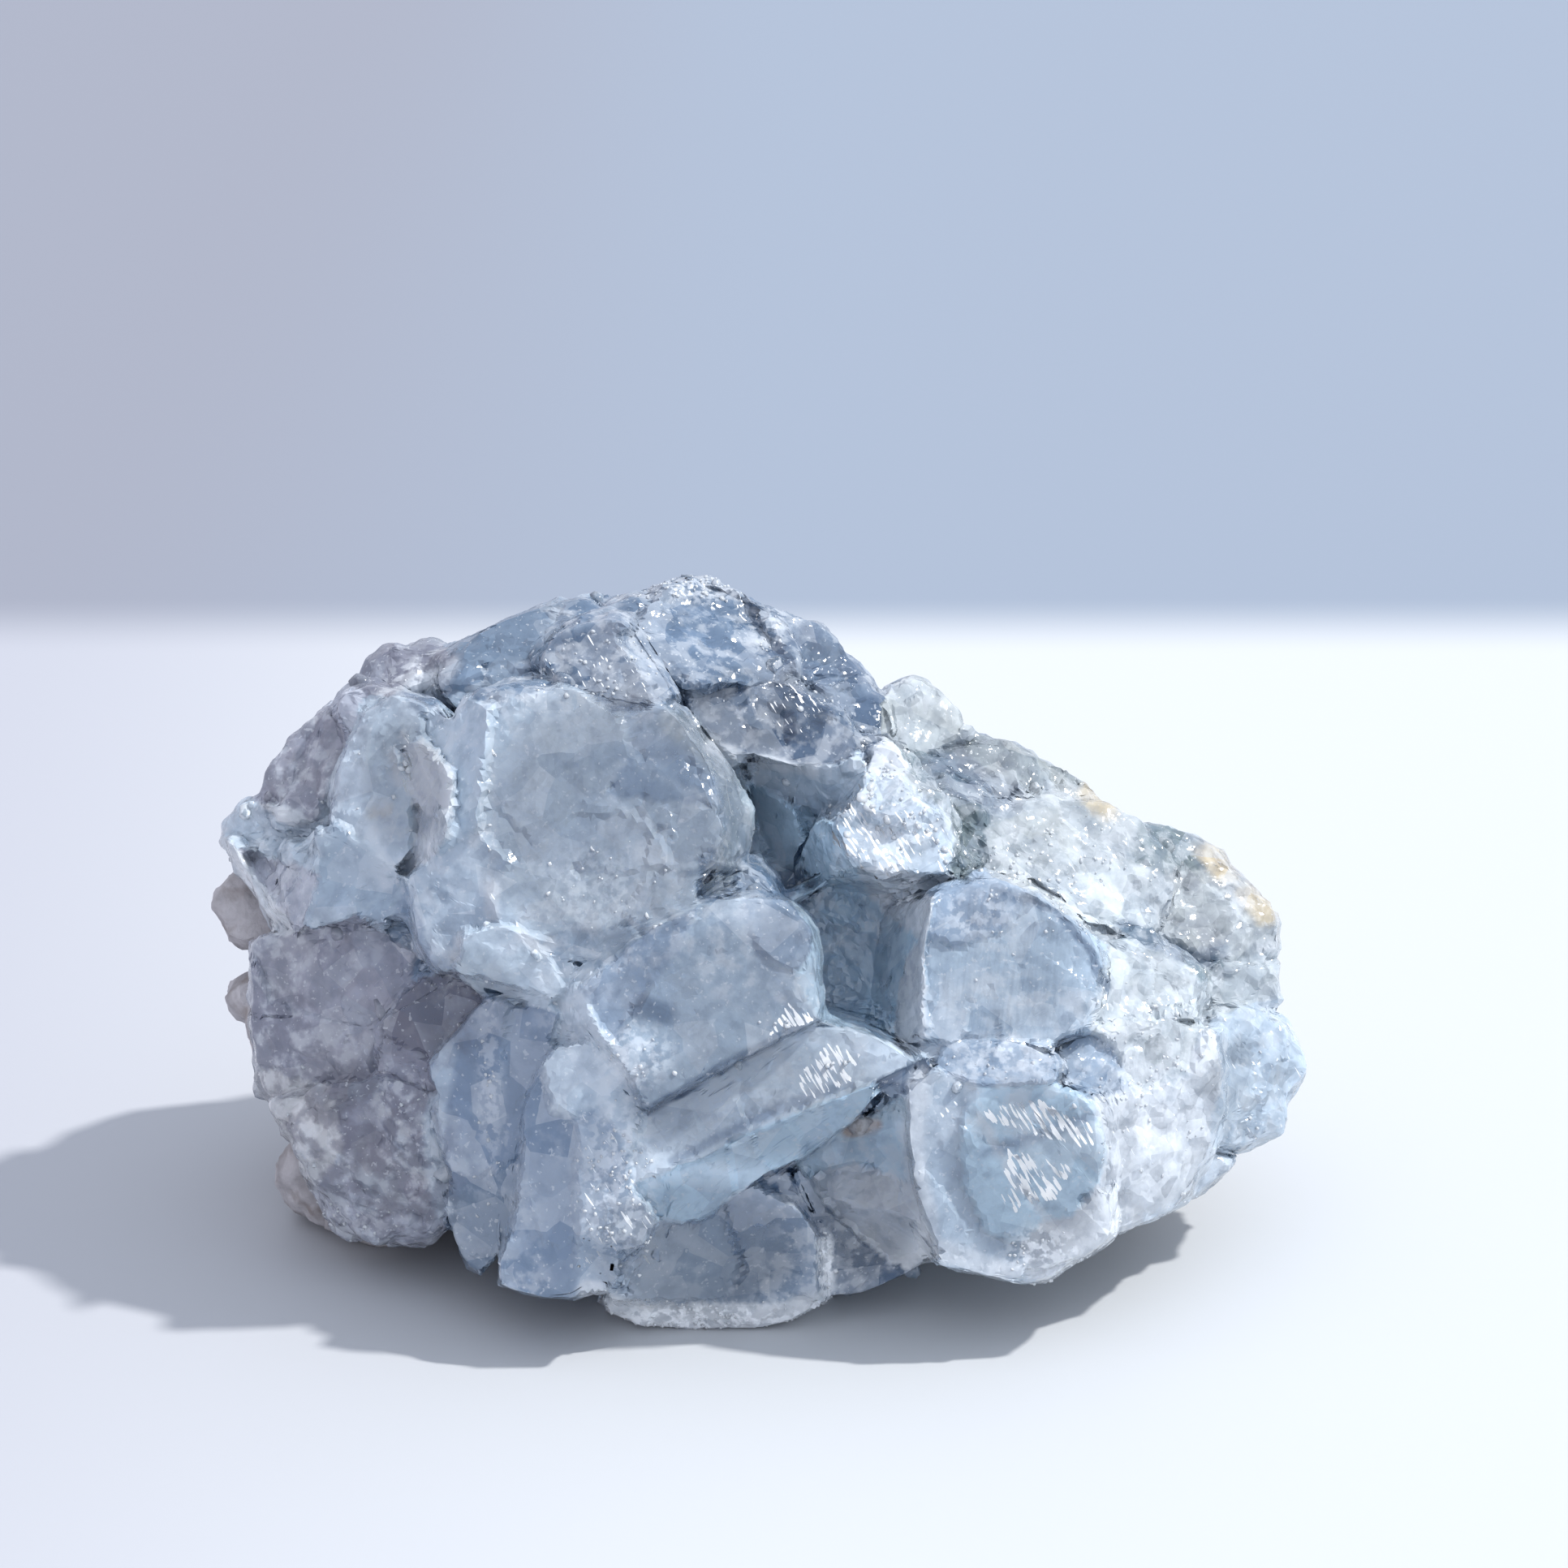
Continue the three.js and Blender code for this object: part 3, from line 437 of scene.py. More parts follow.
def make_light():
    """A sun, and a sky brighter on the sun's side, which is so smooth that it needs no sampling."""
    world = bpy.data.worlds.new("world")
    bpy.context.scene.world = world
    world.cycles.sampling_method = "NONE"
    graph = Graph(world)
    way = graph.add("ShaderNodeTexCoord")["Generated"]
    share = graph.range(graph.dot(way, SKY_WAY), *SKY_RISE)
    graph.put(graph.nodes["Background"].inputs["Color"], graph.mix(share, SKY_DIM, SKY_BRIGHT))
    data = bpy.data.lights.new("key", "SUN")
    data.energy = SUN
    data.angle = SUN_SPREAD
    data.color = SUN_COLOUR
    key = bpy.data.objects.new("key", data)
    key.rotation_euler = Vector(TO_LIGHT).to_track_quat("Z", "Y").to_euler()
    bpy.context.scene.collection.objects.link(key)


# ---- materials ----


class Graph:
    """The nodes of a material or of the world, added one after another."""

    def __init__(self, owner):
        owner.use_nodes = True
        self.owner = owner
        self.nodes = owner.node_tree.nodes
        self.links = owner.node_tree.links

    def put(self, socket, value):
        if isinstance(value, bpy.types.NodeSocket):
            self.links.new(value, socket)
        elif len(np.shape(value)) and socket.type == "RGBA":
            socket.default_value = (*value, 1)
        else:
            socket.default_value = value

    def add(self, kind, inputs=None, **settings):
        """The outputs of a new node, whose inputs are given by name or number."""
        node = self.nodes.new(kind)
        for key, value in settings.items():
            setattr(node, key, value)
        for key, value in (inputs or {}).items():
            self.put(node.inputs[key], value)
        return node.outputs

    def attribute(self, name, output="Fac"):
        return self.add("ShaderNodeAttribute", attribute_name=name)[output]

    def mix(self, factor, one, other):
        return self.add("ShaderNodeMix", {0: factor, 6: one, 7: other}, data_type="RGBA")[2]

    def math(self, operation, one, other):
        return self.add("ShaderNodeMath", {0: one, 1: other}, operation=operation)[0]

    def times(self, one, other):
        return self.math("MULTIPLY", one, other)

    def greater(self, one, other):
        return self.math("MAXIMUM", one, other)

    def range(self, value, low, high, to_low=0.0, to_high=1.0):
        """Where a value is between low and high, smoothly, as a number from to_low to to_high."""
        ends = {"From Min": low, "From Max": high, "To Min": to_low, "To Max": to_high}
        return self.add("ShaderNodeMapRange", {"Value": value, **ends}, interpolation_type="SMOOTHSTEP")[0]

    def dot(self, one, other):
        return self.add("ShaderNodeVectorMath", {0: one, 1: other}, operation="DOT_PRODUCT")["Value"]

    def split(self, vector):
        return self.add("ShaderNodeSeparateXYZ", {"Vector": vector})

    def place(self):
        return self.add("ShaderNodeTexCoord")["Object"]

    def noise(self, size_mm, detail, distortion=0.0):
        """Procedural noise whose lumps are about size_mm across."""
        look = {"Scale": 1 / (size_mm * MM), "Detail": detail, "Distortion": distortion}
        return self.add("ShaderNodeTexNoise", {"Vector": self.place(), **look})["Fac"]

    def cells(self, size_mm):
        """Random cells, each of its own colour, about size_mm across."""
        scale = 1 / (size_mm * MM)
        return self.add("ShaderNodeTexVoronoi", {"Vector": self.place(), "Scale": scale})["Color"]

    def streaks(self, size_mm, turn_deg, stretch=9):
        """Noise drawn out along a way that is turned from level on the show side."""
        turn = math.radians(turn_deg)
        place = self.place()
        ways = {"X": (math.cos(turn) * RIGHT + math.sin(turn) * UP) / stretch,
                "Y": math.cos(turn) * UP - math.sin(turn) * RIGHT, "Z": OUT / 3}
        parts = {key: self.dot(place, way / (size_mm * MM)) for key, way in ways.items()}
        drawn = self.add("ShaderNodeCombineXYZ", parts)["Vector"]
        return self.add("ShaderNodeTexNoise", {"Vector": drawn, "Scale": 1.0, "Detail": 1.0})["Fac"]

    def turned(self, scaled, amount, added):
        """A way scaled by an amount and added to another one, of length 1."""
        part = self.add("ShaderNodeVectorMath", {0: scaled, "Scale": amount}, operation="SCALE")[0]
        total = self.add("ShaderNodeVectorMath", {0: part, 1: added}, operation="ADD")[0]
        return self.add("ShaderNodeVectorMath", {0: total}, operation="NORMALIZE")[0]

    def leant(self, normal, size_mm, amount):
        """A normal that leans its own way in each cell."""
        own = {0: self.cells(size_mm), 1: (0.5, 0.5, 0.5)}
        away = self.add("ShaderNodeVectorMath", own, operation="SUBTRACT")[0]
        return self.turned(away, amount, normal)

    def bump(self, height, strength, depth_mm):
        look = {"Height": height, "Strength": strength, "Distance": depth_mm * MM}
        return self.add("ShaderNodeBump", look)["Normal"]

    def surface(self, **inputs):
        shader = self.nodes["Principled BSDF"]
        for key, value in inputs.items():
            self.put(shader.inputs[key.replace("_", " ")], value)

    def absorb(self, colour, density):
        volume = self.add("ShaderNodeVolumeAbsorption", {"Color": colour, "Density": density})[0]
        self.put(self.nodes["Material Output"].inputs["Volume"], volume)


def linear(r, g, b):
    """A screen colour, 0 to 255, as the renderer's own numbers."""
    share = np.array([r, g, b]) / 255
    return np.where(share <= 0.04045, share / 12.92, ((share + 0.055) / 1.055) ** 2.4)


CELESTITE_IOR = 1.62
ABSORBED = (0.5, 0.72, 0.95)
ABSORB_DENSITY = 30
GLOSS, FROSTED_GLOSS = 0.12, 0.28  # the roughness of a clear face and of a frosted one


def celestite_colour(graph, white, glint):
    """The vertex tint with paler and deeper planes, clouds, stains in the dirty places and flecks, made
    white as a painted highlight where the cleavage steps glint.
    """
    patch = graph.split(graph.cells(3.2))
    deeper = graph.mix(graph.times(patch["X"], 0.3), graph.attribute("tint", "Vector"), SLATE)
    paler = graph.mix(graph.range(patch["Y"], 0.3, 1.0, 0.0, 0.26), deeper, FROSTED)
    cloud = graph.noise(1.5, 4.0)
    milky = graph.times(graph.range(graph.noise(9.0, 1.0), 0.40, 0.62),
                        graph.range(cloud, 0.47, 0.62, 0.0, 0.34))
    dark = graph.mix(graph.range(cloud, 0.5, 0.34, 0.0, 0.2), paler, DARK)
    clouded = graph.mix(milky, dark, FROSTED)
    dirt = graph.attribute("dirt")
    stained = graph.mix(graph.times(dirt, graph.range(cloud, 0.6, 0.42, 0.0, 0.55)), clouded, UMBER)
    crusted = graph.mix(graph.times(dirt, graph.range(cloud, 0.56, 0.68, 0.0, 0.15)), stained, CREAM)
    fleck = graph.range(graph.noise(0.45, 2.0), 0.64, 0.68, 0.0, 0.35)
    # white frost and flecks, and painted highlight where the cleavage steps glint
    return graph.mix(graph.greater(graph.greater(white, glint), fleck), crusted, FROSTED)


def celestite_normal(graph, white, glint):
    """Fine relief, facets that each lean a little, and cleavage steps that all face one way."""
    lines = graph.math("ADD", graph.times(graph.streaks(0.5, 82), graph.attribute("upright")),
                       graph.times(graph.streaks(0.6, 27), graph.attribute("slanting")))
    height = graph.math("ADD", graph.noise(0.6, 2.0), graph.times(lines, 3.0))
    broken = graph.range(graph.greater(graph.attribute("rough"), white), 0.0, 1.0, 0.13, 0.6)
    faceted = graph.leant(graph.bump(height, 0.2, 0.15), 1.3, broken)
    fine = graph.leant(faceted, 0.45, graph.range(white, 0.0, 1.0, 0.12, 0.7))
    return graph.mix(glint, fine, graph.turned(fine, 0.2, GLINT))


def celestite_material(name="celestite", density=ABSORB_DENSITY):
    graph = Graph(bpy.data.materials.new(name))
    white = graph.times(graph.attribute("frost"), graph.range(graph.noise(0.8, 3.0), 0.42, 0.56))
    broken = graph.math("ADD", graph.attribute("cleaved"), graph.times(graph.streaks(0.28, 122, 7), 0.9))
    glint = graph.range(broken, 1.0, 1.03)
    clear = graph.times(graph.attribute("clear"), graph.range(white, 0.0, 1.0, 1.0, 0.3))
    roughness = graph.range(graph.greater(white, glint), 0.0, 1.0, GLOSS, FROSTED_GLOSS)
    graph.surface(Base_Color=celestite_colour(graph, white, glint), Roughness=roughness,
                  IOR=CELESTITE_IOR, Normal=celestite_normal(graph, white, glint),
                  Transmission_Weight=clear)
    if density:
        graph.absorb(ABSORBED, density)
    return graph.owner


def druse_material():
    graph = Graph(bpy.data.materials.new("druse"))
    frosted = graph.range(graph.noise(1.5, 3.0), 0.35, 0.6)
    graph.surface(Base_Color=graph.mix(frosted, graph.attribute("tint", "Vector"), FROSTED),
                  Roughness=0.15, IOR=CELESTITE_IOR, Transmission_Weight=0.35,
                  Normal=graph.leant(graph.add("ShaderNodeNewGeometry")["Normal"], 0.4, 0.25))
    return graph.owner


def flake_material():
    graph = Graph(bpy.data.materials.new("flake"))
    graph.surface(Base_Color=graph.attribute("tint", "Vector"), Roughness=0.2, IOR=CELESTITE_IOR,
                  Normal=graph.bump(graph.noise(0.25, 2.0), 0.2, 0.05), Transmission_Weight=0.4)
    return graph.owner


def rind_material():
    graph = Graph(bpy.data.materials.new("rind"))
    stone = graph.mix(graph.range(graph.noise(4.0, 5.0, 0.6), 0.35, 0.65), STONE_DARK, STONE_LIGHT)
    dirty = graph.mix(graph.range(graph.noise(2.2, 5.0), 0.48, 0.75, 0.0, 0.7), stone, STONE_DIRT)
    graph.surface(Base_Color=graph.mix(graph.attribute("seat"), dirty, STONE_SEAT), Roughness=0.92,
                  Normal=graph.bump(graph.noise(0.6, 6.0), 0.7, 0.3))
    return graph.owner


# ---- where the show side looks different: x, h, reach along x, reach along h, share ----

GLACIER = linear(221, 236, 248)
PALE = linear(203, 219, 233)
# AQUA is the clear blue of faces that lie in shade, partly their own colour and partly painted light that
# brightens them.
AQUA = linear(210, 237, 255)
HAZE = linear(183, 202, 219)
SKY = linear(160, 180, 202)
DEEP = linear(136, 157, 182)
SLATE = linear(114, 136, 160)
DARK = linear(94, 116, 142)
INK = linear(72, 95, 124)
LILAC = linear(209, 212, 225)
MAUVE = linear(172, 173, 187)
PLUM = linear(146, 146, 160)
UMBER = linear(116, 114, 129)
ASH = linear(190, 196, 196)
CHALK = linear(208, 216, 219)
GREY = linear(160, 167, 166)
MOSS = linear(117, 132, 134)
WHITE = linear(240, 245, 250)
FROSTED = linear(246, 250, 254)
CREAM = linear(222, 221, 222)
OCHRE = linear(226, 206, 166)
RUST = linear(186, 138, 96)
STONE_DARK, STONE_LIGHT = linear(160, 156, 158), linear(198, 194, 196)
STONE_DIRT, STONE_SEAT = linear(136, 124, 118), linear(238, 243, 248)

# The flat faces that the crystals show: colour, how far it stands proud, and corners.
FACES = [
    # the great crystal
    (PALE, 0.0, [(-27.5, 50.5), (-24.5, 52.5), (-21.7, 51.3), (-22.4, 45), (-22.8, 41), (-25, 41),
        (-25, 45.5), (-27.5, 49)]),
    (PALE, 0.1, [(-21.7, 51.3), (-17, 53), (-14, 52), (-11, 50.8), (-10.5, 47.5), (-12.5, 44), (-8, 41),
        (-7, 38), (-12, 37.5), (-20, 38.5), (-22.8, 41), (-22.4, 45)]),
    (SKY, 0.0, [(-11, 50.8), (-7.5, 50.7), (-6, 47), (-4.6, 45), (-10.5, 47.5)]),
    (SKY, 0.1, [(-10.5, 47.5), (-4.6, 45), (-3.2, 43.2), (-12.5, 44)]),
    (PALE, 0.0, [(-12.5, 44), (-3.2, 43.2), (-2.6, 41), (-7, 38), (-8, 41)]),
    (SKY, -0.2, [(-7.5, 50.7), (-6.5, 51.2), (-4, 47.8), (-1.8, 44.7), (-0.4, 42), (-0.4, 40.5),
        (-1.2, 38.2), (-3, 38), (-2.6, 41), (-3.2, 43.2), (-6, 47)]),
    (GLACIER, 0.1, [(-20, 38.5), (-12, 37.5), (-7, 38), (-5, 38), (-5.5, 34.8), (-9, 33.8), (-12.5, 33),
        (-16, 33), (-21.5, 33.5), (-22.5, 36)]),
    (PALE, 0.0, [(-28.9, 37.3), (-25.5, 40), (-22.8, 41), (-20, 38.5), (-22.5, 36), (-21.5, 33.5),
        (-24.5, 32.8), (-26.8, 33), (-27.8, 34.5)]),
    (PALE, 0.0, [(-26.8, 33), (-24.5, 32.8), (-24.2, 31), (-25.2, 29.8), (-26.2, 29.4), (-27.3, 31.5)]),
    (GLACIER, 0.5, [(-24.5, 32.8), (-21, 33.4), (-17.5, 31.5), (-15.7, 28), (-17, 27), (-20, 28.3),
        (-25, 29.6)]),
    (HAZE, -0.3, [(-16, 33), (-12.5, 33), (-9, 33.8), (-14.8, 28.4), (-15.7, 28), (-17.5, 31.5)]),
    # left of it
    (GLACIER, -0.2, [(-33.5, 44.5), (-32, 47.5), (-29.5, 47.8), (-28.3, 43.5), (-28.3, 39.5),
        (-30.5, 38.3), (-33.8, 41.5), (-35, 42.5)]),
    (PALE, 0.0, [(-32.5, 51.4), (-29, 51.8), (-27.8, 50.5), (-27.5, 48.5), (-29.5, 47.8), (-32, 47.5),
        (-33.8, 48)]),
    (FROSTED, 0.8, [(-28.3, 43.5), (-29.5, 47.8), (-27.5, 48.5), (-25, 46), (-25, 43), (-27.2, 42.2)]),
    (WHITE, 0.8, [(-28.3, 39.5), (-28.3, 43.5), (-27.2, 42.2), (-25, 43), (-25, 41), (-25.5, 40),
        (-28.9, 37.3)]),
    (GLACIER, 0.3, [(-35, 42.5), (-33.5, 44.5), (-32, 47.5), (-33.8, 48), (-35.5, 44.5)]),
    (HAZE, 0.1, [(-36.2, 40.5), (-34, 41.5), (-30.5, 38.3), (-29.3, 36.5), (-30.5, 32.5), (-33, 34.3),
        (-36.4, 33), (-37.3, 34.5), (-36, 37.5)]),
    (GLACIER, 0.0, [(-44, 41.5), (-42, 43.3), (-38.5, 42), (-36.2, 40.5), (-36, 37.5), (-38.5, 38.5),
        (-41, 39), (-43.5, 39.8)]),
    (FROSTED, 0.3, [(-44.2, 41.2), (-43.2, 40.3), (-38, 33), (-38.6, 32.5), (-40.5, 33.8),
        (-41.2, 35)]),
    (LILAC, 0.0, [(-43.2, 40.3), (-41, 39), (-38.5, 38.5), (-36, 37.5), (-37.3, 34.5), (-38, 33)]),
    (MAUVE, 0.0, [(-41, 43.5), (-39.5, 47), (-36, 50.8), (-34.8, 51), (-33.5, 48), (-35.5, 44.5),
        (-37, 43)]),
    (LILAC, 0.0, [(-35, 52.3), (-32.8, 52.2), (-33.5, 48), (-34.8, 51)]),
    (FROSTED, 0.4, [(-41, 43.3), (-39.5, 43.2), (-37.5, 41.6), (-37.8, 41), (-40, 42)]),
    # along the top
    (PLUM, 0.0, [(-32.5, 53), (-30, 56), (-27.5, 56.8), (-25.8, 56), (-24.5, 55), (-28, 53.5),
        (-30.5, 52.5)]),
    (SLATE, 0.2, [(-25.8, 56), (-18.5, 59.8), (-16, 60.2), (-17, 57), (-18, 55), (-22, 54),
        (-24.5, 55)]),
    (SLATE, 0.6, [(-27.8, 50.5), (-29, 51.8), (-28, 53.5), (-24.5, 55), (-22, 54), (-18, 55), (-17, 53),
        (-21.7, 51.3), (-24.5, 52.5), (-27.5, 50.5)]),
    (INK, 0.0, [(-17, 57), (-12.5, 58.5), (-11.5, 56.5), (-9, 53.5), (-10, 51), (-12, 50.6),
        (-14.5, 53), (-18, 55)]),
    (DARK, 0.0, [(-16, 60.2), (-11.5, 61), (-8.5, 60), (-11, 57), (-12.5, 58.5), (-17, 57)]),
    (DARK, 0.2, [(-11, 57), (-8.5, 60), (-5, 61.8), (-1, 60), (2.5, 55), (-1, 53), (-4, 53), (-8, 52.5),
        (-9.5, 54)]),
    (DARK, 0.0, [(-1, 60), (2.5, 59.7), (5, 57.7), (8, 55.7), (9.5, 52.5), (4.5, 52), (2.5, 55)]),
    (INK, 0.3, [(-5.5, 51.5), (-3, 53), (1, 53), (4, 52), (7, 50.5), (8.5, 48), (6.5, 46.5), (3, 46.3),
        (-1, 47.5), (-4, 49)]),
    (INK, 0.0, [(4.5, 52), (9.5, 52.5), (10.5, 50), (9.3, 46.5), (8.5, 48), (7, 50.5)]),
    # the deep pocket and the glittering crystal
    (WHITE, 0.2, [(9.5, 48.5), (11, 48), (12, 45.5), (10, 46), (9.3, 46.5)]),
    (PALE, 0.4, [(8, 44), (10, 46), (12, 45.5), (15, 43), (13, 41), (9, 41.5)]),
    (HAZE, 0.2, [(6.2, 41.5), (8, 44), (9, 41.5), (9, 38.2), (7, 39.5)]),
    (GLACIER, 0.0, [(9, 41.5), (13, 41), (15, 43), (16, 40.5), (15, 38.5), (12, 38), (9, 38.2)]),
    (MOSS, 0.0, [(15, 43), (12, 45.5), (14, 46), (16.5, 43.5), (18.5, 39.5), (17, 38), (16, 40.5)]),
    (AQUA, 0.0, [(3, 35), (8, 38.2), (9, 36), (10.5, 34), (13.5, 32), (12, 30.5), (11.3, 27),
        (10.8, 24.5), (8.8, 25), (5, 26), (4, 27), (3.4, 29), (4.5, 31), (4.3, 33)]),
    (WHITE, 0.2, [(8, 38.2), (11, 38.8), (13.8, 35), (13.5, 32), (10.5, 34), (9, 36)]),
    # the shield, the lip and the lantern
    (SKY, 0.2, [(14.5, 35.5), (20, 37), (22, 36), (20.5, 33), (16.5, 31.5), (13.7, 32.5)]),
    (HAZE, 0.2, [(22, 36), (24, 35), (27.5, 31.5), (28, 29), (27.2, 25), (24, 24), (16, 24.3),
        (13.8, 25), (13.6, 31), (13.7, 32.5), (16.5, 31.5), (20.5, 33)]),
    (WHITE, -0.2, [(13.6, 31), (14.5, 35.5), (13.2, 33), (12, 30.5), (11.2, 25.2), (12.3, 23), (13, 25),
        (13.8, 25)]),
    (SKY, 0.3, [(15.5, 22), (17, 24), (20, 23.7), (24, 23.2), (24.7, 21), (22, 20.6), (18.5, 20),
        (15.7, 20.7)]),
    (PALE, -0.1, [(11.8, 19), (13.5, 20.5), (16, 21), (18, 20), (16.5, 17.5), (16.8, 12), (18.5, 8),
        (22, 6), (21, 4.8), (17, 5), (14.8, 6.2), (13, 12)]),
    (AQUA, 0.1, [(16.5, 17.5), (18, 20), (21, 19.8), (25, 20), (27, 18.5), (27.6, 17.4), (18.8, 14.8)]),
    (AQUA, 0.0, [(18.8, 14.8), (27.6, 17.4), (28.5, 16), (28, 12), (25.5, 9.5), (22.6, 10.4)]),
    (AQUA, 0.1, [(16.5, 17.5), (18.8, 14.8), (22.6, 10.4), (25.5, 9.5), (22, 8), (18.5, 8),
        (16.8, 12)]),
    (FROSTED, 0.0, [(22, 6), (22.5, 9), (25.5, 9.5), (28, 12), (30.5, 11), (30.5, 8.5), (28, 6),
        (25.5, 5.3), (24, 4.2)]),
    (SKY, 0.0, [(24.8, 24), (27, 24.5), (29, 23.5), (30, 21), (29.8, 19), (28, 19.5), (25, 20),
        (24.7, 21)]),
    # the right mass
    (CHALK, 0.2, [(28, 29), (31, 32), (34.5, 31), (36, 28.5), (35.5, 26.5), (32, 25.5), (29, 25),
        (27.2, 25)]),
    (CHALK, 0.0, [(27.2, 25), (29, 25), (32, 25.5), (35.5, 26.5), (35, 21), (31, 19.5), (30, 21),
        (29, 23.5)]),
    (WHITE, 0.3, [(28, 19), (31, 19.5), (35, 21), (37.5, 24), (38, 20), (35, 14.5), (31, 11),
        (28.5, 12), (28.5, 16)]),
    (PALE, 0.2, [(38, 26), (41, 27), (43.5, 24), (44.5, 22), (43.5, 20), (42, 16.5), (38.5, 15),
        (37.3, 18), (38, 20)]),
    (CHALK, 0.0, [(36, 28.5), (38, 29.5), (41, 30), (42.3, 29), (41, 27), (38, 26), (36.5, 26.5)]),
    (MOSS, -0.2, [(30, 33), (34, 31.7), (37.5, 30.5), (38, 29.5), (36, 28.5), (34.5, 31), (31, 32)]),
    (ASH, 0.2, [(18.5, 39.5), (20, 43), (25, 45), (28, 43), (31, 41.5), (30, 38.5), (26, 37.5),
        (22, 36.5), (19.5, 37)]),
    (MOSS, 0.0, [(30, 38.5), (31, 41.5), (35, 42), (37.5, 40.5), (36.5, 38), (33, 37.5)]),
    (CHALK, 0.1, [(22, 36.5), (26, 37.5), (30, 38.5), (33, 37.5), (34, 35.5), (31, 33.2), (28, 33.5),
        (25, 35)]),
    (ASH, 0.0, [(33, 37.5), (36.5, 38), (39, 37.5), (41.5, 34.5), (42.5, 33), (40, 31.5), (36, 31),
        (33.5, 33), (34, 35.5)]),
    (ASH, 0.2, [(10.5, 51.5), (13, 53), (16, 51.5), (16.5, 49), (14, 47.5), (11, 47.5), (10, 49.5)]),
    (GREY, 0.1, [(15.5, 47.5), (19, 48.5), (21.5, 47.5), (21.5, 45), (20, 43.5), (17, 45.5)]),
    (GREY, 0.0, [(21.5, 47.5), (24.5, 46.5), (27, 44), (25, 45), (21.5, 45)]),
    (MOSS, 0.0, [(11, 47.5), (14, 47.5), (17, 45.5), (19, 43.8), (18.5, 41.5), (16.5, 43.5), (14, 46)]),
    # the tongue and the prism
    (SKY, 0.2, [(-14.8, 28.4), (-10, 31.5), (-5, 34.5), (-6.5, 31), (-9, 28), (-10.5, 26), (-12, 23.5),
        (-13.5, 26)]),
    (SKY, 0.3, [(-1.5, 35.6), (2.5, 35), (4.4, 33), (4.3, 31.5), (2.8, 29.5), (-0.2, 31)]),
    (HAZE, 0.3, [(-5, 34.5), (-1.5, 35.6), (-0.2, 31), (2.8, 29.5), (3, 27.5), (5, 25.7), (0.5, 23.8),
        (-3, 21.8), (-9, 18.2), (-10.5, 20.5), (-12, 23.5), (-10.5, 26), (-9, 28), (-6.5, 31)]),
    (GLACIER, 0.0, [(-9.3, 18), (-3, 21), (1, 23), (5, 25), (9.5, 23.8), (13, 22), (9.5, 20.5),
        (5, 18.7), (0, 16.7), (-5, 14), (-9.8, 12.3), (-10.3, 15)]),
    (AQUA, 0.0, [(-9.8, 12.3), (-5, 14), (0, 16.7), (5, 18.7), (9.5, 20.5), (10, 19.5), (8, 17.3),
        (3.7, 15), (-0.5, 12.2), (-3, 10), (-5.5, 8.8), (-8, 9)]),
    # INK on this step under the prism's end is painted shade.
    (INK, -0.2, [(9.5, 20.5), (13, 22), (13.2, 21.5), (10, 18), (8, 17.3), (10, 19.5)]),
    # the low middle and the keel
    (AQUA, 0.1, [(3.3, 13.5), (5, 13), (8, 13.6), (11, 12.8), (12.5, 12), (12, 15), (12.3, 19),
        (10.5, 18), (8, 16.5), (4, 14.8)]),
    (WHITE, 0.0, [(5, 13), (5.5, 10.5), (8, 10.5), (10.5, 9.8), (13.5, 8.5), (12.5, 12), (11, 12.8),
        (8, 13.6)]),
    (WHITE, 0.0, [(5.5, 10.5), (8, 10.5), (10.5, 9.8), (13.5, 8.5), (14.5, 6.5), (11, 6), (8, 8)]),
    (SKY, 0.1, [(-12, 6), (-8, 8.8), (-5.5, 8.8), (-3, 10), (-1, 5), (-3, 2.3), (-12, 2.5)]),
    (DEEP, 0.0, [(-3, 10), (-0.5, 12.2), (3, 10.5), (5, 8), (5, 5), (4.5, 2.5), (-3, 2.3), (-1, 5)]),
    (INK, 0.0, [(3.3, 13.5), (-0.5, 12.2), (3, 10.5), (5, 8), (5, 5), (6, 2.7), (9, 3.3), (11, 5.2),
        (8, 8), (5.5, 10.5)]),
    (WHITE, 0.3, [(-13.5, 2.5), (-5, 2.3), (4.5, 2.5), (2, 0.5), (-3, -0.2), (-9, 0), (-12, 1)]),
    # the speckled face and the columns
    (SKY, 0.2, [(-15, 17.5), (-13, 18.5), (-11.3, 16), (-11, 12), (-8, 9), (-9, 6.5), (-11.3, 6),
        (-11.5, 4), (-14.5, 3), (-15, 8)]),
    (PALE, 0.3, [(-18, 22), (-16, 23.5), (-14, 24), (-12, 22), (-10.5, 20.5), (-9.5, 17), (-10.3, 15),
        (-11.3, 16), (-13, 18.5), (-15, 17.5), (-17, 18)]),
    (DEEP, 0.0, [(-19.3, 18), (-18, 22), (-17, 18), (-15, 17.5), (-15, 10), (-15, 3.5), (-18, 2.5),
        (-21, 4), (-20.3, 9), (-19.5, 14)]),
    (DEEP, -0.1, [(-27, 22), (-24.5, 25), (-22, 27.5), (-20.5, 26.8), (-21, 20), (-20.6, 13.5),
        (-25, 12), (-26, 16)]),
    (DEEP, -0.1, [(-20.5, 26.8), (-18, 26.5), (-16.2, 26), (-17, 23.5), (-18, 22), (-19.3, 19),
        (-19.5, 14), (-20.6, 13.5), (-21, 20)]),
    (SLATE, 0.1, [(-25, 12), (-19.5, 14), (-20.3, 9), (-22.5, 5.5), (-24.5, 6), (-25, 9)]),
    (GLACIER, 0.0, [(-24.5, 29), (-20, 28.3), (-17, 27), (-16.2, 26), (-18, 26.5), (-22, 27.5)]),
    (GLACIER, 0.0, [(-16.2, 26), (-17, 27), (-15.7, 28), (-14.8, 28.4), (-13.5, 26), (-12, 23.5),
        (-14, 24), (-16, 23.5), (-17, 23.5)]),
    # the left wall
    (UMBER, 0.0, [(-30, 26.5), (-28, 28.8), (-25, 29.4), (-22.8, 27), (-25, 24.5), (-27, 22.3),
        (-31, 24)]),
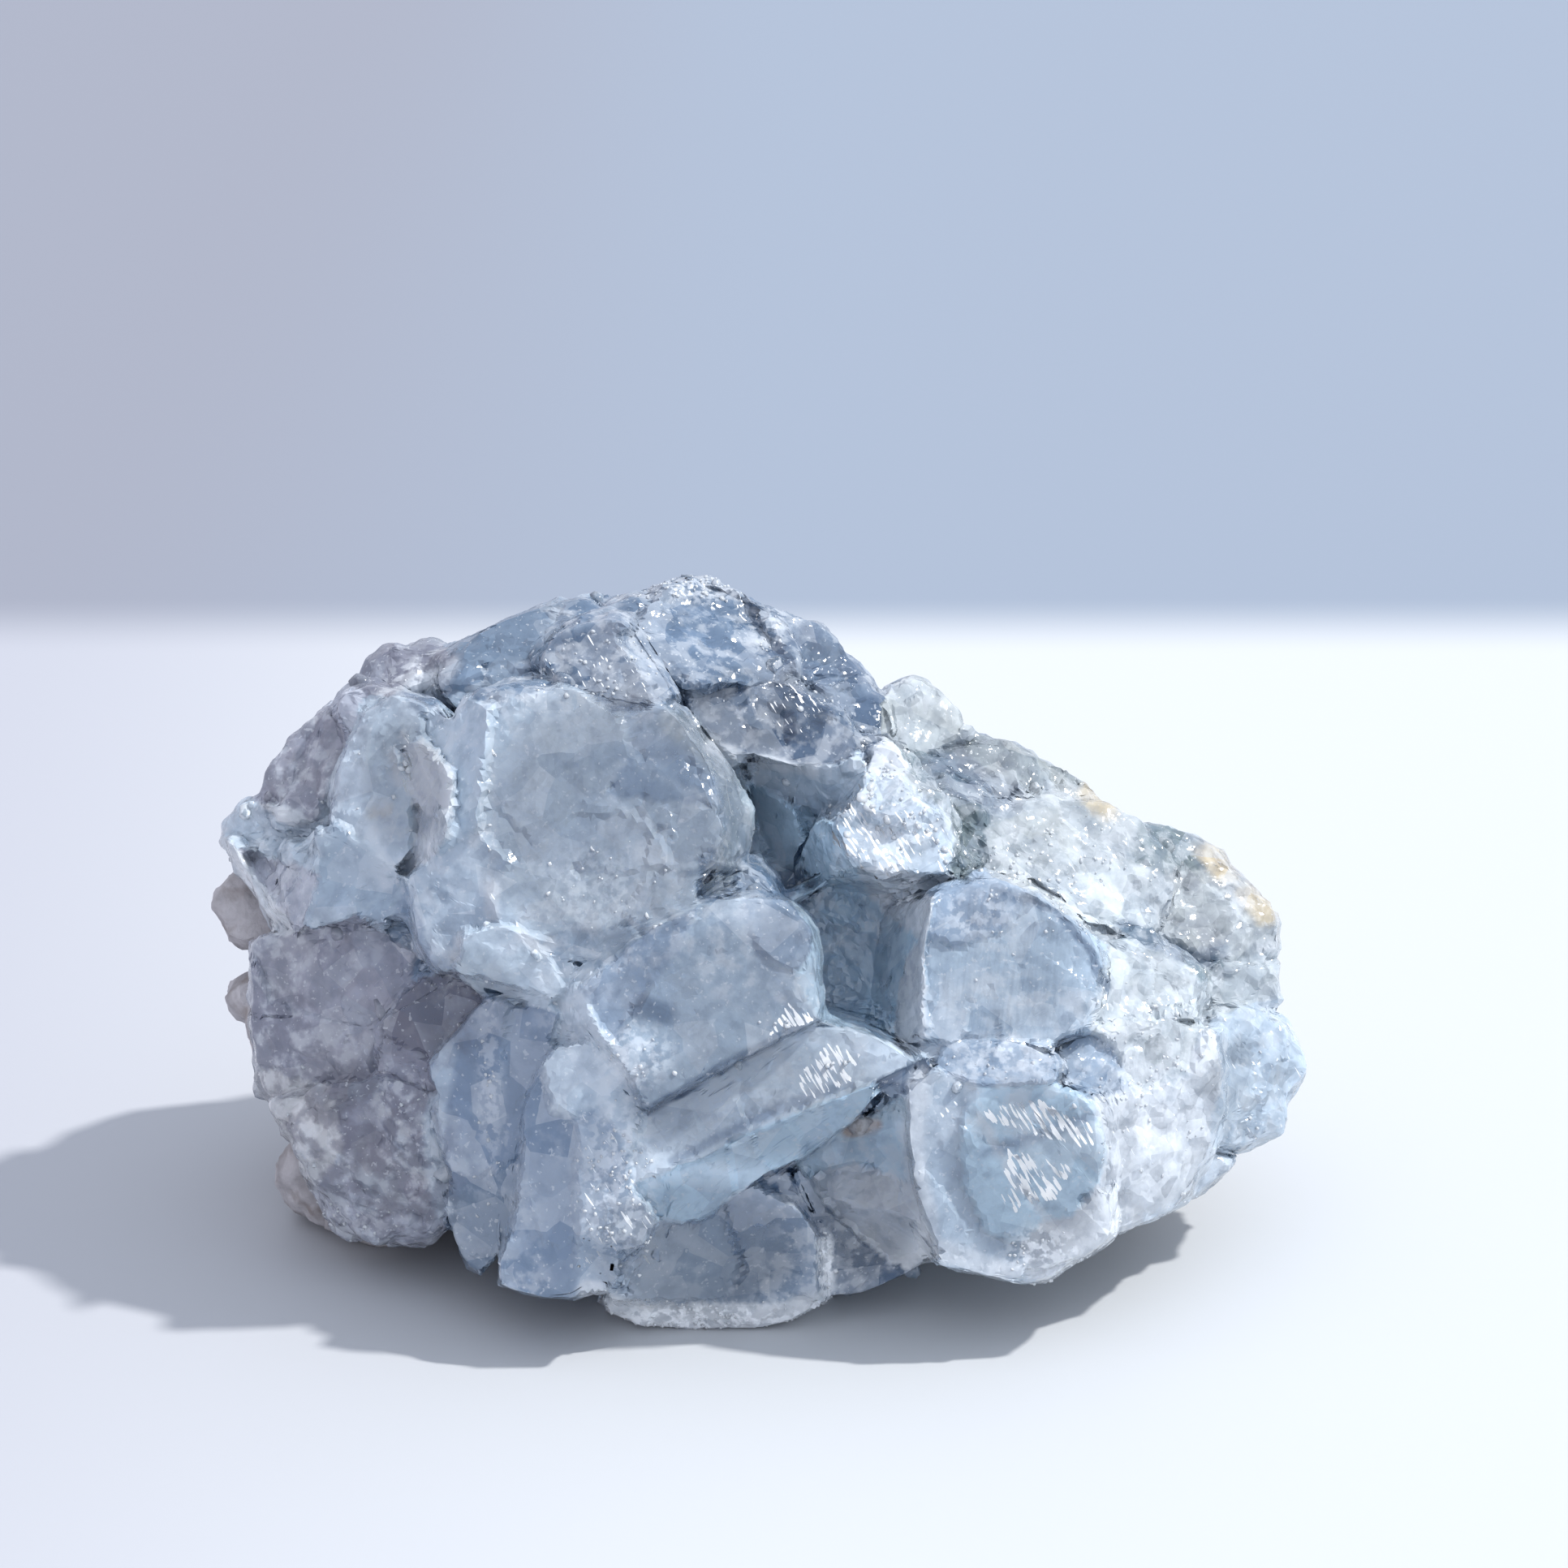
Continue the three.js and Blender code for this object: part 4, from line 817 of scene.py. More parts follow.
    (PLUM, 0.0, [(-31, 24), (-27, 22.3), (-27, 20), (-31.5, 21)]),
    (MAUVE, 0.0, [(-41, 31), (-38.3, 32.5), (-36, 33), (-33, 34.3), (-30.5, 32.5), (-28, 31),
        (-28.5, 29), (-30, 26.5), (-33, 25), (-37, 26), (-40, 27)]),
    (MAUVE, 0.2, [(-41.3, 30), (-40, 27), (-37, 26), (-33, 25), (-31, 24), (-31.5, 21), (-35, 20),
        (-40.2, 21.5), (-41.5, 25)]),
    (SKY, -0.2, [(-29, 36.5), (-28, 34), (-27.3, 31.5), (-26.2, 29.4), (-28.5, 29), (-28, 31),
        (-30.5, 32.5)]),
    (CREAM, 0.1, [(-40.2, 21.5), (-35, 20), (-34, 15), (-36, 12), (-38.5, 15.5), (-39.8, 18.5)]),
    (PLUM, 0.0, [(-35, 20), (-31.5, 21), (-27, 20), (-26, 16), (-29, 17.5), (-31, 17), (-33, 15),
        (-34, 15)]),
    (PLUM, -0.1, [(-33, 15), (-31, 17), (-29, 17.5), (-26, 16), (-25.2, 12), (-27, 9), (-31, 9.5),
        (-33, 11)]),
    (LILAC, 0.1, [(-36, 12), (-34, 15), (-33, 15), (-33, 11), (-31, 9.5), (-27, 9), (-26, 7.3),
        (-31, 7.2), (-34, 8.5)]),
    # in the deep pocket
    (PALE, 0.0, [(-1.5, 45.5), (-0.5, 47), (3, 46.2), (6.5, 46.4), (8.3, 47.6), (8, 44), (6.2, 41.8),
        (2.5, 43.4)]),
    (AQUA, 0.0, [(-1.5, 45.5), (2.5, 43.4), (6.2, 41.8), (7, 39.5), (8, 38.2), (4.6, 36.6), (1.4, 38),
        (-0.3, 41)]),
    (SLATE, 0.1, [(-4.6, 38.6), (-3.2, 39.2), (-0.8, 38.6), (1.4, 38), (2.6, 36.4), (0, 35.8),
        (-4.8, 35.6)]),
]
FACE_REACH = 1.1  # how far past its outline a face still holds
RIM_EASED = 0.2  # how wide a strip at each rim is smoothed
RIM_LEFT_OUT = 0.8  # how wide a strip at the rim doesn't count for a face's plane
FEWEST_INNER = 12  # a face with fewer points inside that strip keeps its shape
STEEP = 0.42  # faces that turn away more than this keep their shape
FACE_LEAN = 0.05  # how much each face leans its own way
FACE_SHADE = 0.07
SPREAD_ROUNDS = 12

# Tints of what no face holds: colour, and x, h, reach along x, reach along h, share.
TINTS = [
    (HAZE, [(-12, 42, 12, 11, 0.85), (-6, 56, 12, 6, 0.9), (-3, 28, 10, 6, 0.5), (-11, 12, 5, 10, 0.5),
            (-22, 18, 4, 12, 0.4), (-24, 52, 9, 5, 0.6), (-38, 47, 5, 6, 0.3), (0, 20, 10, 5, 0.3)]),
    (MAUVE, [(-36, 30, 9, 10, 0.9), (-38, 47, 6, 6, 0.8), (-32, 15, 10, 12, 0.85), (-24, 52, 9, 5, 0.3),
             (-31, 40, 6, 5, 0.4), (-22, 18, 4, 12, 0.4)]),
    (DEEP, [(3, 52, 8, 7, 0.7), (4, 30, 11, 8, 0.9), (-12, 55, 7, 4, 0.6), (-5, 6, 12, 6, 0.9),
            (20, 29, 8, 8, 0.6), (-20, 14, 5, 12, 0.3), (12, 8, 5, 6, 0.7), (40, 20, 5, 6, 0.3)]),
    # DARK here is painted shade in the deep pocket, over its own deeper blue, and in the step under the
    # prism's end.
    (DARK, [(1.5, 41, 6, 7, 0.9), (-27, 26, 4, 4, 0.7), (11, 19, 3, 3, 0.7), (7, 31, 5, 5, 0.4),
            (0, 50, 5, 3, 0.7), (-5, 7, 10, 5, 0.15), (-6, 57, 9, 3.5, 0.35), (-12, 55, 6, 3, 0.3)]),
    (UMBER, [(-37, 10, 5, 4, 0.8), (-27, 26, 3.5, 3, 0.6), (-30, 13, 5, 6, 0.4), (-37, 22, 4, 4, 0.4)]),
    (WHITE, [(11, 43, 6, 6, 0.9), (25, 38, 10, 6, 0.9), (32, 22, 7, 13, 0.9), (20, 22, 6, 2.5, 0.7),
             (-5, 61, 6, 3, 0.5), (42, 20, 3, 5, 0.4)]),
    (GREY, [(36, 32, 8, 5, 0.7), (18, 47, 6, 4, 0.6), (6, 54, 4, 4, 0.4)]),
]
FACET_SHADE = 0.14
# Painted highlight along the crystals' edges and on the small crystals' tips, and painted shade in the
# dips between them; filled grooves are only paler.
EDGE_PAINTED_HIGHLIGHT, GROOVE_PALE, TIP_PAINTED_HIGHLIGHT = 0.14, 0.2, 0.3  # how pale edges, filled grooves and tips are
DIP_PAINTED_SHADE = 0.75  # how deep the colour is between small crystals
MARK_STRAY = 0.25

GROOVE = 1.6  # half the width of the grooves that are filled
CELL = 0.4  # the size of the squares in which the front's height is looked up
DEEPEST = 3.0
FINEST = 0.385  # how long the edges of the finest triangles are
CREASE_DEG = 15  # the surface is shaded smooth where it bends less

# Rough places where small crystals crowd: x, h, reach along x, reach along h, share.
ROUGH = [
    (-36, 29, 7, 8, 0.5), (-33, 13, 9, 10, 0.9), (-40, 39, 5, 6, 0.7), (-38, 47, 6, 6, 0.6),
    (-23, 54, 8, 3, 0.5), (-13, 55, 6, 4, 0.4), (-3, 59, 8, 4, 0.6), (-10.5, 10, 4, 9, 0.35),
    (32, 22, 7, 14, 0.65), (25, 38, 10, 6, 0.7), (11, 43, 6, 6, 1.0), (2, 52, 7, 4, 0.7),
    (42, 20, 4, 8, 0.7), (36, 32, 9, 6, 0.9), (18, 46, 7, 5, 0.8), (-4, 1, 10, 2, 0.3),
    (20, 22, 6, 2, 0.4), (7, 30, 6, 6, 0.3), (-8, 23, 4, 3, 0.2), (-12, 35, 5, 3, 0.2),
]
RELIEF = [(4.6, 1.8, 0.3), (2.3, 1.0, 0.5)]  # the small crystals' size, height and spread of shades
LOW_ROUGH = 0.7  # how rough the crust is where it falls back behind the front
RIPPLE_HEIGHT, RIPPLE_SIZE = 0.05, 4.0
TERRACES = [(0.18, 5.5, 51), (0.1, 2.0, 53)]  # the faces' low steps: height, size and salt
CHIP_DEPTH, CHIP_SIZE = 0.96, 1.6
WORN_DEPTH, WORN_WIDTH = 0.02, 0.55

# Frosted patches: x, h, reach along x, reach along h, share.
FROST = [
    (-13, 54.5, 5, 3, 0.12), (-5, 61, 5, 1.2, 0.45), (0.6, 57.5, 1.5, 2, 0.4), (-28, 53.7, 2.5, 1, 0.5),
    (-11.5, 12, 3, 7, 0.4), (-4, 1, 9, 1.2, 0.9), (23.5, 6.5, 3, 2, 0.7), (32, 20, 4, 9, 0.22),
    (25, 38, 7, 4, 0.18), (11, 43, 4, 4, 0.35), (-13.5, 36, 4.5, 3.5, 0.25), (20.5, 22.5, 5, 1.6, 0.35),
    (5.5, 5.5, 0.8, 2.5, 0.9), (-34, 9, 4, 2, 0.25), (18, 34, 3, 2, 0.4), (-10, 22.5, 3, 2.5, 0.4),
    (-22, 20, 1, 8, 0.3),
]

FROST_SOFT = 0.5
WORN_FROST = 0.22  # how frosted the worn edges are

# How clear each place is: x, h, reach along x, reach along h, share of the light that passes.
CLEAR = [
    (-12, 42, 12, 12, 0.62), (-29, 45, 4, 6, 0.55), (-3, 28, 10, 6, 0.55), (0, 19, 12, 6, 0.6),
    (22, 13, 7, 8, 0.6), (20, 30, 7, 7, 0.45), (-5, 7, 10, 6, 0.6), (9, 11, 5, 7, 0.6),
    (6, 30, 8, 8, 0.55), (0, 51, 7, 4, 0.5), (-24, 27, 5, 5, 0.5), (40, 20, 4, 5, 0.5),
]
LEAST_CLEAR = 0.3

# Fine lines on faces: x, h, reach along x, reach along h, share.
UPRIGHT = [(20, 30, 7, 7, 1.0), (-12, 42, 9, 8, 0.25), (33, 20, 5, 8, 0.4)]
SLANTING = [(-2, 20, 12, 5, 0.8), (-5, 8, 9, 5, 0.4), (22, 13, 6, 7, 0.5), (9, 10, 5, 5, 0.6)]

# Stained, broken places: x, h, reach along x, reach along h, share.
DIRT = [
    (-33, 13, 8, 9, 1.0), (-39, 24, 4, 6, 0.7), (-34, 28, 8, 6, 0.35), (-38, 46, 4, 6, 0.6),
    (-27, 25, 4, 4, 0.5), (37, 35, 5, 5, 0.4), (18, 46, 4, 3, 0.4), (5, 55, 5, 3, 0.3),
    (-29, 54, 4, 3, 0.5),
]

# Faces broken into cleavage steps that catch the light: corners, anticlockwise, and share.
CLEAVED = [
    ([(0.6, 24.0), (5.1, 25.5), (2.4, 27.5)], 0.57),
    ([(3.0, 18.3), (7.8, 20.2), (8.6, 22.8), (5.6, 24.0), (3.3, 21.5)], 0.56),
    ([(17.6, 17.4), (27.6, 14.6), (27.6, 17), (23, 19.2), (18.6, 18.6)], 0.56),
    ([(19.4, 9.6), (24.6, 10.6), (26, 13.6), (20.4, 15.4)], 0.54),
    ([(20.6, 9.4), (22.4, 10), (22.2, 12.2), (20.4, 12.2)], 0.58),
    ([(13.8, 17), (14.6, 16.8), (16.6, 18.6), (16, 19.2)], 0.5),
    ([(-29.4, 44.2), (-28.4, 44), (-28.2, 49), (-29.2, 49.4)], 0.57),
    ([(5.6, 40), (8.4, 38), (11, 40), (8, 46)], 0.5),
    ([(9, 37.5), (16, 37), (16.5, 41), (11, 43)], 0.45),
    ([(-18.5, 52), (-9, 51), (-9, 57), (-17, 58)], 0.37),
    ([(29, 8), (34, 10), (36, 20), (28, 20)], 0.34),
    ([(20, 35), (33, 35), (30, 42), (18, 43)], 0.35),
    ([(0, 50), (5, 48), (6, 52), (1, 54)], 0.42),
    ([(-22.4, 34), (-21.2, 34), (-21.2, 51), (-22.4, 51)], 0.38),
    ([(-15, 5), (-8, 5), (-8, 19), (-15, 19)], 0.4),
    ([(37, 14), (44, 16), (45, 25), (38, 26)], 0.36),
]

# Lines drawn on the surface: colour, share, half width and the points that they run through.
MARKS = [
    # The first two white strokes are painted highlights: the glints of the left bevel's cleavage steps.
    (WHITE, 0.9, 0.3, [(-29, 49), (-28.8, 46.4), (-28.5, 44.3)]),
    (WHITE, 0.9, 0.35, [(-30, 47.6), (-29.6, 45)]),
    (WHITE, 0.7, 0.5, [(-23.6, 40), (-22.6, 41.2)]),
    (WHITE, 0.8, 0.6, [(-22, 36.6), (-21.8, 34.2)]),
    (WHITE, 0.8, 0.5, [(-19.4, 32.6), (-17.6, 31), (-17, 32)]),
    (WHITE, 0.9, 0.4, [(-24.6, 32), (-25, 30.6)]),
    (WHITE, 0.5, 0.7, [(-28, 53.2), (-25, 54.6)]),
    (WHITE, 0.5, 1.0, [(-9.4, 39.4), (-7.6, 38.2)]),
    (SLATE, 0.5, 0.5, [(-26.6, 36), (-25.6, 35.6)]),
    (DEEP, 0.4, 0.8, [(-13, 47), (-8, 48.6), (-5.4, 45)]),
    (PALE, 0.5, 0.3, [(-12, 50.6), (-9.4, 46), (-3.4, 43.4)]),
    (SLATE, 0.6, 0.35, [(-6.4, 37.4), (-2, 38.2)]),
    (WHITE, 0.3, 0.2, [(-22.2, 51), (-21.6, 43), (-22.4, 34)]),
    (GREY, 0.6, 1.2, [(-7, 50), (-2.2, 46), (-1.2, 41), (-3.5, 37)]),
    (DARK, 0.8, 0.9, [(-9.6, 26.4), (-7.6, 26.1)]),
    # painted shade in the groove between the tongue and the prism
    (DARK, 0.8, 0.4, [(-9, 18.2), (-3, 21.6), (3.5, 25)]),
    (DEEP, 0.7, 0.4, [(-7, 14), (1, 18), (6, 20)]),
    (RUST, 0.8, 0.4, [(7.2, 16.2), (9.8, 16.9)]),
    (WHITE, 0.8, 0.5, [(-4, 48), (0, 46.8), (4.5, 46)]),
    (DARK, 0.8, 0.35, [(20, 36), (24.5, 34.4), (27.4, 31), (28.3, 28)]),
    (OCHRE, 0.8, 0.9, [(27, 44), (28.5, 42.5)]),
    (OCHRE, 0.9, 0.8, [(36.5, 39.3), (38.6, 37.6)]),
    (OCHRE, 0.8, 0.9, [(40, 36), (41.6, 34)]),
    (WHITE, 0.8, 0.9, [(-14, 3), (-9, 1.2), (-4, 0.6), (1, 1), (5.5, 2.5)]),
    (DARK, 0.6, 0.7, [(30, 33), (36, 30.4), (38, 31)]),
    (PALE, 0.8, 0.8, [(-25.6, 23), (-26.6, 17), (-26, 10)]),
    # a painted highlight: the bright rim where light shines through the lantern's rounded left edge
    (WHITE, 0.7, 0.9, [(13.2, 21), (12.6, 15), (14.2, 7), (19.5, 5)]),
    (WHITE, 0.7, 0.7, [(19.5, 5), (24, 5.2), (30, 9)]),
    (DEEP, 0.7, 0.5, [(18.8, 14.6), (27.4, 17.6)]),
    (WHITE, 0.6, 0.35, [(18, 17.6), (19.6, 15), (21.6, 11.6), (24, 9)]),
    (OCHRE, 0.4, 0.5, [(-31.6, 42.4), (-30.4, 42.8)]),
    (WHITE, 0.6, 0.4, [(5, 7.5), (5.6, 5.5), (6, 3.5)]),
    (DARK, 0.6, 1.6, [(15, 46), (20, 43.6)]),
]


def strongest(places, spots, soft=SOFT):
    """The greatest share that any of the spots gives to each place."""
    return np.max([spot(places, *each, soft=soft) for each in spots], axis=0)


def blended(colours, other, share):
    """Colours with a share of another one mixed into each."""
    share = share[:, None]
    return colours * (1 - share) + other * share


def within(places, corners):
    """1 inside an outline with no dents, 0 outside it."""
    depth = np.full(len(places), FAR)
    for a, b in zip(np.array(corners), np.roll(corners, -1, axis=0)):
        side = (b - a) / np.linalg.norm(b - a)
        depth = np.minimum(depth, side[0] * (places[:, 1] - a[1]) - side[1] * (places[:, 0] - a[0]))
    return smooth_step(-0.3, 0.3, depth)


def from_line(places, line):
    """How far each place is from a line through some points."""
    nearest = np.full(len(places), FAR)
    for a, b in zip(np.array(line[:-1], float), np.array(line[1:], float)):
        along = np.clip((places - a) @ (b - a) / ((b - a) @ (b - a)), 0, 1)
        nearest = np.minimum(nearest, np.linalg.norm(places - a - along[:, None] * (b - a), axis=1))
    return nearest


def depth_in(places, corners):
    """How deep inside an outline each place is; outside it the depth is negative."""
    nearest = from_line(places, [*corners, corners[0]])
    inside = np.zeros(len(places), bool)
    x, h = places.T
    for (x0, h0), (x1, h1) in zip(corners, [*corners[1:], corners[0]]):
        if h0 != h1:
            inside ^= ((h0 > h) != (h1 > h)) & (x < (x1 - x0) * (h - h0) / (h1 - h0) + x0)
    return np.where(inside, nearest, -nearest)


def faces_at(places):
    """The face that holds each place, or -1, and how far the place is from that face's rim."""
    best = np.full(len(places), -FACE_REACH)
    second = best.copy()
    face = np.full(len(places), -1)
    for k, (_, _, corners) in enumerate(FACES):
        low, high = np.min(corners, axis=0) - FACE_REACH, np.max(corners, axis=0) + FACE_REACH
        near = np.flatnonzero(((places > low) & (places < high)).all(axis=1))
        depth = depth_in(places[near], corners)
        better = depth > best[near]
        second[near] = np.where(better, best[near], np.maximum(second[near], depth))
        best[near] = np.where(better, depth, best[near])
        face[near[better]] = k
    return face, (best - second) / 2


def spread_out(points, triangles, free):
    """Moves crowded vertices apart across the view: each free one goes to its neighbours' middle."""
    places, out = seen(points)
    edges = edges_of(triangles)[0]
    ends = np.concatenate([edges, edges[:, ::-1]])
    count = np.maximum(np.bincount(ends[:, 0], minlength=len(points)), 1)

    def middle_of(values):
        return np.bincount(ends[:, 0], values[ends[:, 1]], len(points)) / count

    for _ in range(SPREAD_ROUNDS):
        for values in (places[:, 0], places[:, 1]):
            values[free] += 0.5 * (middle_of(values) - values)[free]
    return places, out, middle_of


def plane_of(places, out):
    """The plane out = a + b x + c h that most of the places lie on."""
    rows = np.column_stack([np.ones(len(places)), places])
    keep = np.ones(len(places), bool)
    for _ in range(3):
        plane = np.linalg.lstsq(rows[keep], out[keep], rcond=None)[0]
        away = out - rows @ plane
        keep = away > -max(0.5, 1.5 * np.abs(away[keep]).mean())
    return plane


def planes_of(places, out, face, rim, facing):
    """How far out each place would stand on the plane of its face, where that shows well enough."""
    own = numbered(len(FACES), 9) * 2 - 1
    goal = out.copy()
    for k, (_, proud, _) in enumerate(FACES):
        held = np.flatnonzero(face == k)
        inner = held[rim[held] > min(RIM_LEFT_OUT, 0.5 * rim[held].max(initial=0))]
        if len(inner) < FEWEST_INNER or facing[held].mean() < STEEP:
            continue
        plane = plane_of(places[inner], out[inner])
        away = places[held] - places[inner].mean(axis=0)
        goal[held] = (plane[0] + places[held] @ plane[1:]) + proud + FACE_LEAN * (away @ own[k, :2])
    return goal


def flattened(points, triangles, outermost):
    """The points with each face's brought to its plane, their faces and how far from the rim they are."""
    facing = vertex_normals(points, triangles) @ OUT
    face, _ = faces_at(seen(points)[0])
    front = (facing > -0.1) & (face >= 0) & outermost
    places, out, middle_of = spread_out(points, triangles, front)
    face, rim = faces_at(places)
    face = np.where(front, face, -1)
    goal = planes_of(places, out, face, rim, facing)
    weight = smooth_step(-0.1, 0.2, facing) * (1 - smooth_step(3.0, 5.0, np.abs(goal - out)))
    out = np.where(front, out + (goal - out) * weight, out)
    near_rim = front & (rim < RIM_EASED)
    for _ in range(3):
        out[near_rim] += 0.5 * (middle_of(out) - out)[near_rim]
    return np.where(front[:, None], show(places, out), points), face, rim


def marked(colours, points, places, rise, to_edge, lift):
    """The colours, with painted highlight at edges and on the small crystals' tips, paler filled grooves,
    painted shade in rough dips, and the marks.
    """
    # painted highlight along the edges
    edge_highlight = EDGE_PAINTED_HIGHLIGHT * (1 - smooth_step(0.1, 0.5, to_edge))
    pale = np.maximum(GROOVE_PALE * smooth_step(0.1, 0.8, rise), edge_highlight)
    pale *= smooth_step(-0.2, 0.5, wave(points, 7.0, 81))
    # painted highlight on the small crystals' tips
    colours = blended(colours, PALE, np.maximum(pale, TIP_PAINTED_HIGHLIGHT * smooth_step(0.2, 1.0, lift)))
    # painted shade in the dips between the small crystals
    colours = blended(colours, colours * DEEP, DIP_PAINTED_SHADE * smooth_step(0.1, 0.9, -lift))
    strays = np.stack([wave(points, 1.5, 61), wave(points, 1.5, 62)], axis=1)
    strayed = places + MARK_STRAY * strays
    for colour, share, half_width, line in MARKS:
        away = from_line(strayed, line) / half_width
        colours = blended(colours, colour, share * (1 - smooth_step(0.6, 1.4, away)))
    return colours


def tint_of(places, facets, face):
    """Each vertex's own colour, the same over most of a facet or face."""
    count = facets.max() + 1
    size = np.bincount(facets, minlength=count)
    sums = [np.bincount(facets, places[:, k], count) for k in range(2)]
    centres = (np.stack(sums) / np.maximum(size, 1)).T
    colours = np.tile(PALE, (count, 1))
    for colour, spots in TINTS:
        for each in spots:
            colours = blended(colours, colour, spot(centres, *each))
    colours = colours * (1 + FACET_SHADE * (numbered(count, 5)[:, :1] * 2 - 1))
    own = numbered(len(FACES), 6)[:, :1] * 2 - 1
    shown = np.array([colour for colour, _, _ in FACES]) * (1 + FACE_SHADE * own)
    return np.where((face >= 0)[:, None], shown[face], colours[facets])


def closed_level(places, out):
    """How far out the front would stand if its narrow grooves were filled."""
    low = places.min(axis=0) - 15 * CELL
    cells = ((places - low) / CELL).astype(int)
    grid = np.full(cells.max(axis=0) + 15, -FAR)
    np.maximum.at(grid, (cells[:, 0], cells[:, 1]), out)
    reach = int(GROOVE / CELL) + 1
    wide = grid.copy()
    for i, j in np.ndindex(2 * reach + 1, 2 * reach + 1):
        if math.hypot(i - reach, j - reach) * CELL < GROOVE:
            wide = np.maximum(wide, np.roll(grid, (i - reach, j - reach), (0, 1)))
    level = np.full(len(places), FAR)
    for k in range(12):
        turn = math.radians(30 * k)
        aside = places + (GROOVE + 1.5 * CELL) * np.array([math.cos(turn), math.sin(turn)])
        cells_aside = ((aside - low) / CELL).astype(int)
        level = np.minimum(level, wide[cells_aside[:, 0], cells_aside[:, 1]])
    return level


def filled(points, normals):
    """The points, with narrow grooves of the front filled, how far, and which points are outermost."""
    places, out = seen(points)
    under = closed_level(places, out) - out
    rise = np.clip(under, 0, DEEPEST) * (under < 3 * DEEPEST)
    in_front = smooth_step(-0.1, 0.15, normals @ OUT) * smooth_step(0.5, 2, points[:, 2])
    rise *= in_front * smooth_step(-22, -17, out)
    return points + of_length_1(EYE_PLACE - points) * rise[:, None], rise, under < DEEPEST + 1


def frost_of(points, places, to_edge):
    """How frosted each vertex is: in patches, and here and there along the edges that stand out."""
    worn = smooth_step(0.05, 0.5, wave(points, 5.0, 31)) * (1 - smooth_step(0.05, 0.5, to_edge))
    return np.maximum(strongest(places, FROST, FROST_SOFT), WORN_FROST * worn)


def relief_of(points, places, out):
    """How rough each place is, and how high and how light its small crystals are."""
    rough = np.maximum(strongest(places, ROUGH), LOW_ROUGH * smooth_step(-8, -12, out))
    lift = np.zeros(len(points))
    light = np.ones(len(points))
    some = rough > 0.02
    for size, height, shade in RELIEF:
        level, number = blocks(points[some], size, int(size * 10))
        lift[some] += rough[some] * height * (level - 0.4)
        light[some] *= 1 + rough[some] * shade * (number - 0.5)
    return rough, lift, light


def ripple_of(points):
    """The low ripples and terraces of the crystals' faces."""
    ripple = RIPPLE_HEIGHT * rough_wave(points, RIPPLE_SIZE, 1)
    for height, size, salt in TERRACES:
        ripple += height * terraces(points, size, salt)
    return ripple


def rounding_of(points, to_edge):
    """How far the edges are worn down, and chipped here and there."""
    chip = CHIP_DEPTH * np.maximum(0, wave(points, CHIP_SIZE, 3)) ** 2
    return (WORN_DEPTH + chip) * (1 - smooth_step(0, WORN_WIDTH, to_edge))


# ---- the crystals ----


def crust_mesh(points, triangles, edge_tree):
    """The crust cut finest near its edges and where it shows, with each triangle's facet."""
    def wanted_of(places):
        across, out = seen(places)
        behind = smooth_step(2, 5, closed_level(across, out) - out)
        near = distance_to(edge_tree, places)
        coarser = 0.5 * behind + 1.2 * smooth_step(-14, -20, out)
        return FINEST + np.minimum(0.2 * near, 0.16) + coarser

    return refined(points, triangles, facets_of(points, triangles), wanted_of)


def crystals():
    """The crystal side. Its mesh, its colours and points along its seams are given back."""
    points, triangles = arrays_of("celestite_crystals")
    proud, grooves = sharp_edges(points, triangles)
    seams = along_edges(points, grooves)
    edge_tree = tree_of(along_edges(points, proud))
    points, triangles, facets = crust_mesh(points, triangles, edge_tree)
    to_edge = distance_to(edge_tree, points)
    points, rise, outermost = filled(points, vertex_normals(points, triangles))
    points, face, rim = flattened(points, triangles, outermost)
    to_edge = np.where(face >= 0, rim, to_edge)
    normals = vertex_normals(points, triangles)
    places, out = seen(points)
    rough, lift, light = relief_of(points, places, out)
    height = ripple_of(points) + lift - rounding_of(points, to_edge)
    moved = points + normals * (height * smooth_step(0, 0.8, points[:, 2]))[:, None]
    vertex_facet = np.zeros(len(points), int)
    vertex_facet[triangles.ravel()] = np.repeat(facets, 3)
    shaded = tint_of(places, vertex_facet, face) * light[:, None]
    tint = marked(shaded, points, places, rise, to_edge, lift)
    made = make_object(
        "crystals", moved, triangles, celestite_material(), CREASE_DEG, rough=rough, tint=tint,
        frost=frost_of(points, places, to_edge),
        cleaved=np.max([share * within(places, corners) for corners, share in CLEAVED], axis=0),
        clear=np.maximum(strongest(places, CLEAR), LEAST_CLEAR), dirt=strongest(places, DIRT),
        upright=strongest(places, UPRIGHT), slanting=strongest(places, SLANTING))
    place_on(made, "celestite_crystals")
    return moved, triangles, tint, seams


def place_on(made, node=None):
    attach(made, "root")
    if node:
        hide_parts(node)


# ---- small crystals, flakes and grains on them ----

# A block's rings of corners: how high each is and how wide.
PLAIN = ((-1, 1), (1, 1))
ROOFED = ((-1, 1), (0.45, 1), (1, 0.5))

DRUSE_COUNT = 1000
DRUSE_SIZE = (0.1, 0.36)
YOUNG_COUNT = 90
YOUNG_SIZE = (0.8, 3.2)
YOUNG_FROM_OUT, YOUNG_FROM_Z = -17, 2  # they grow only in front of this and above that

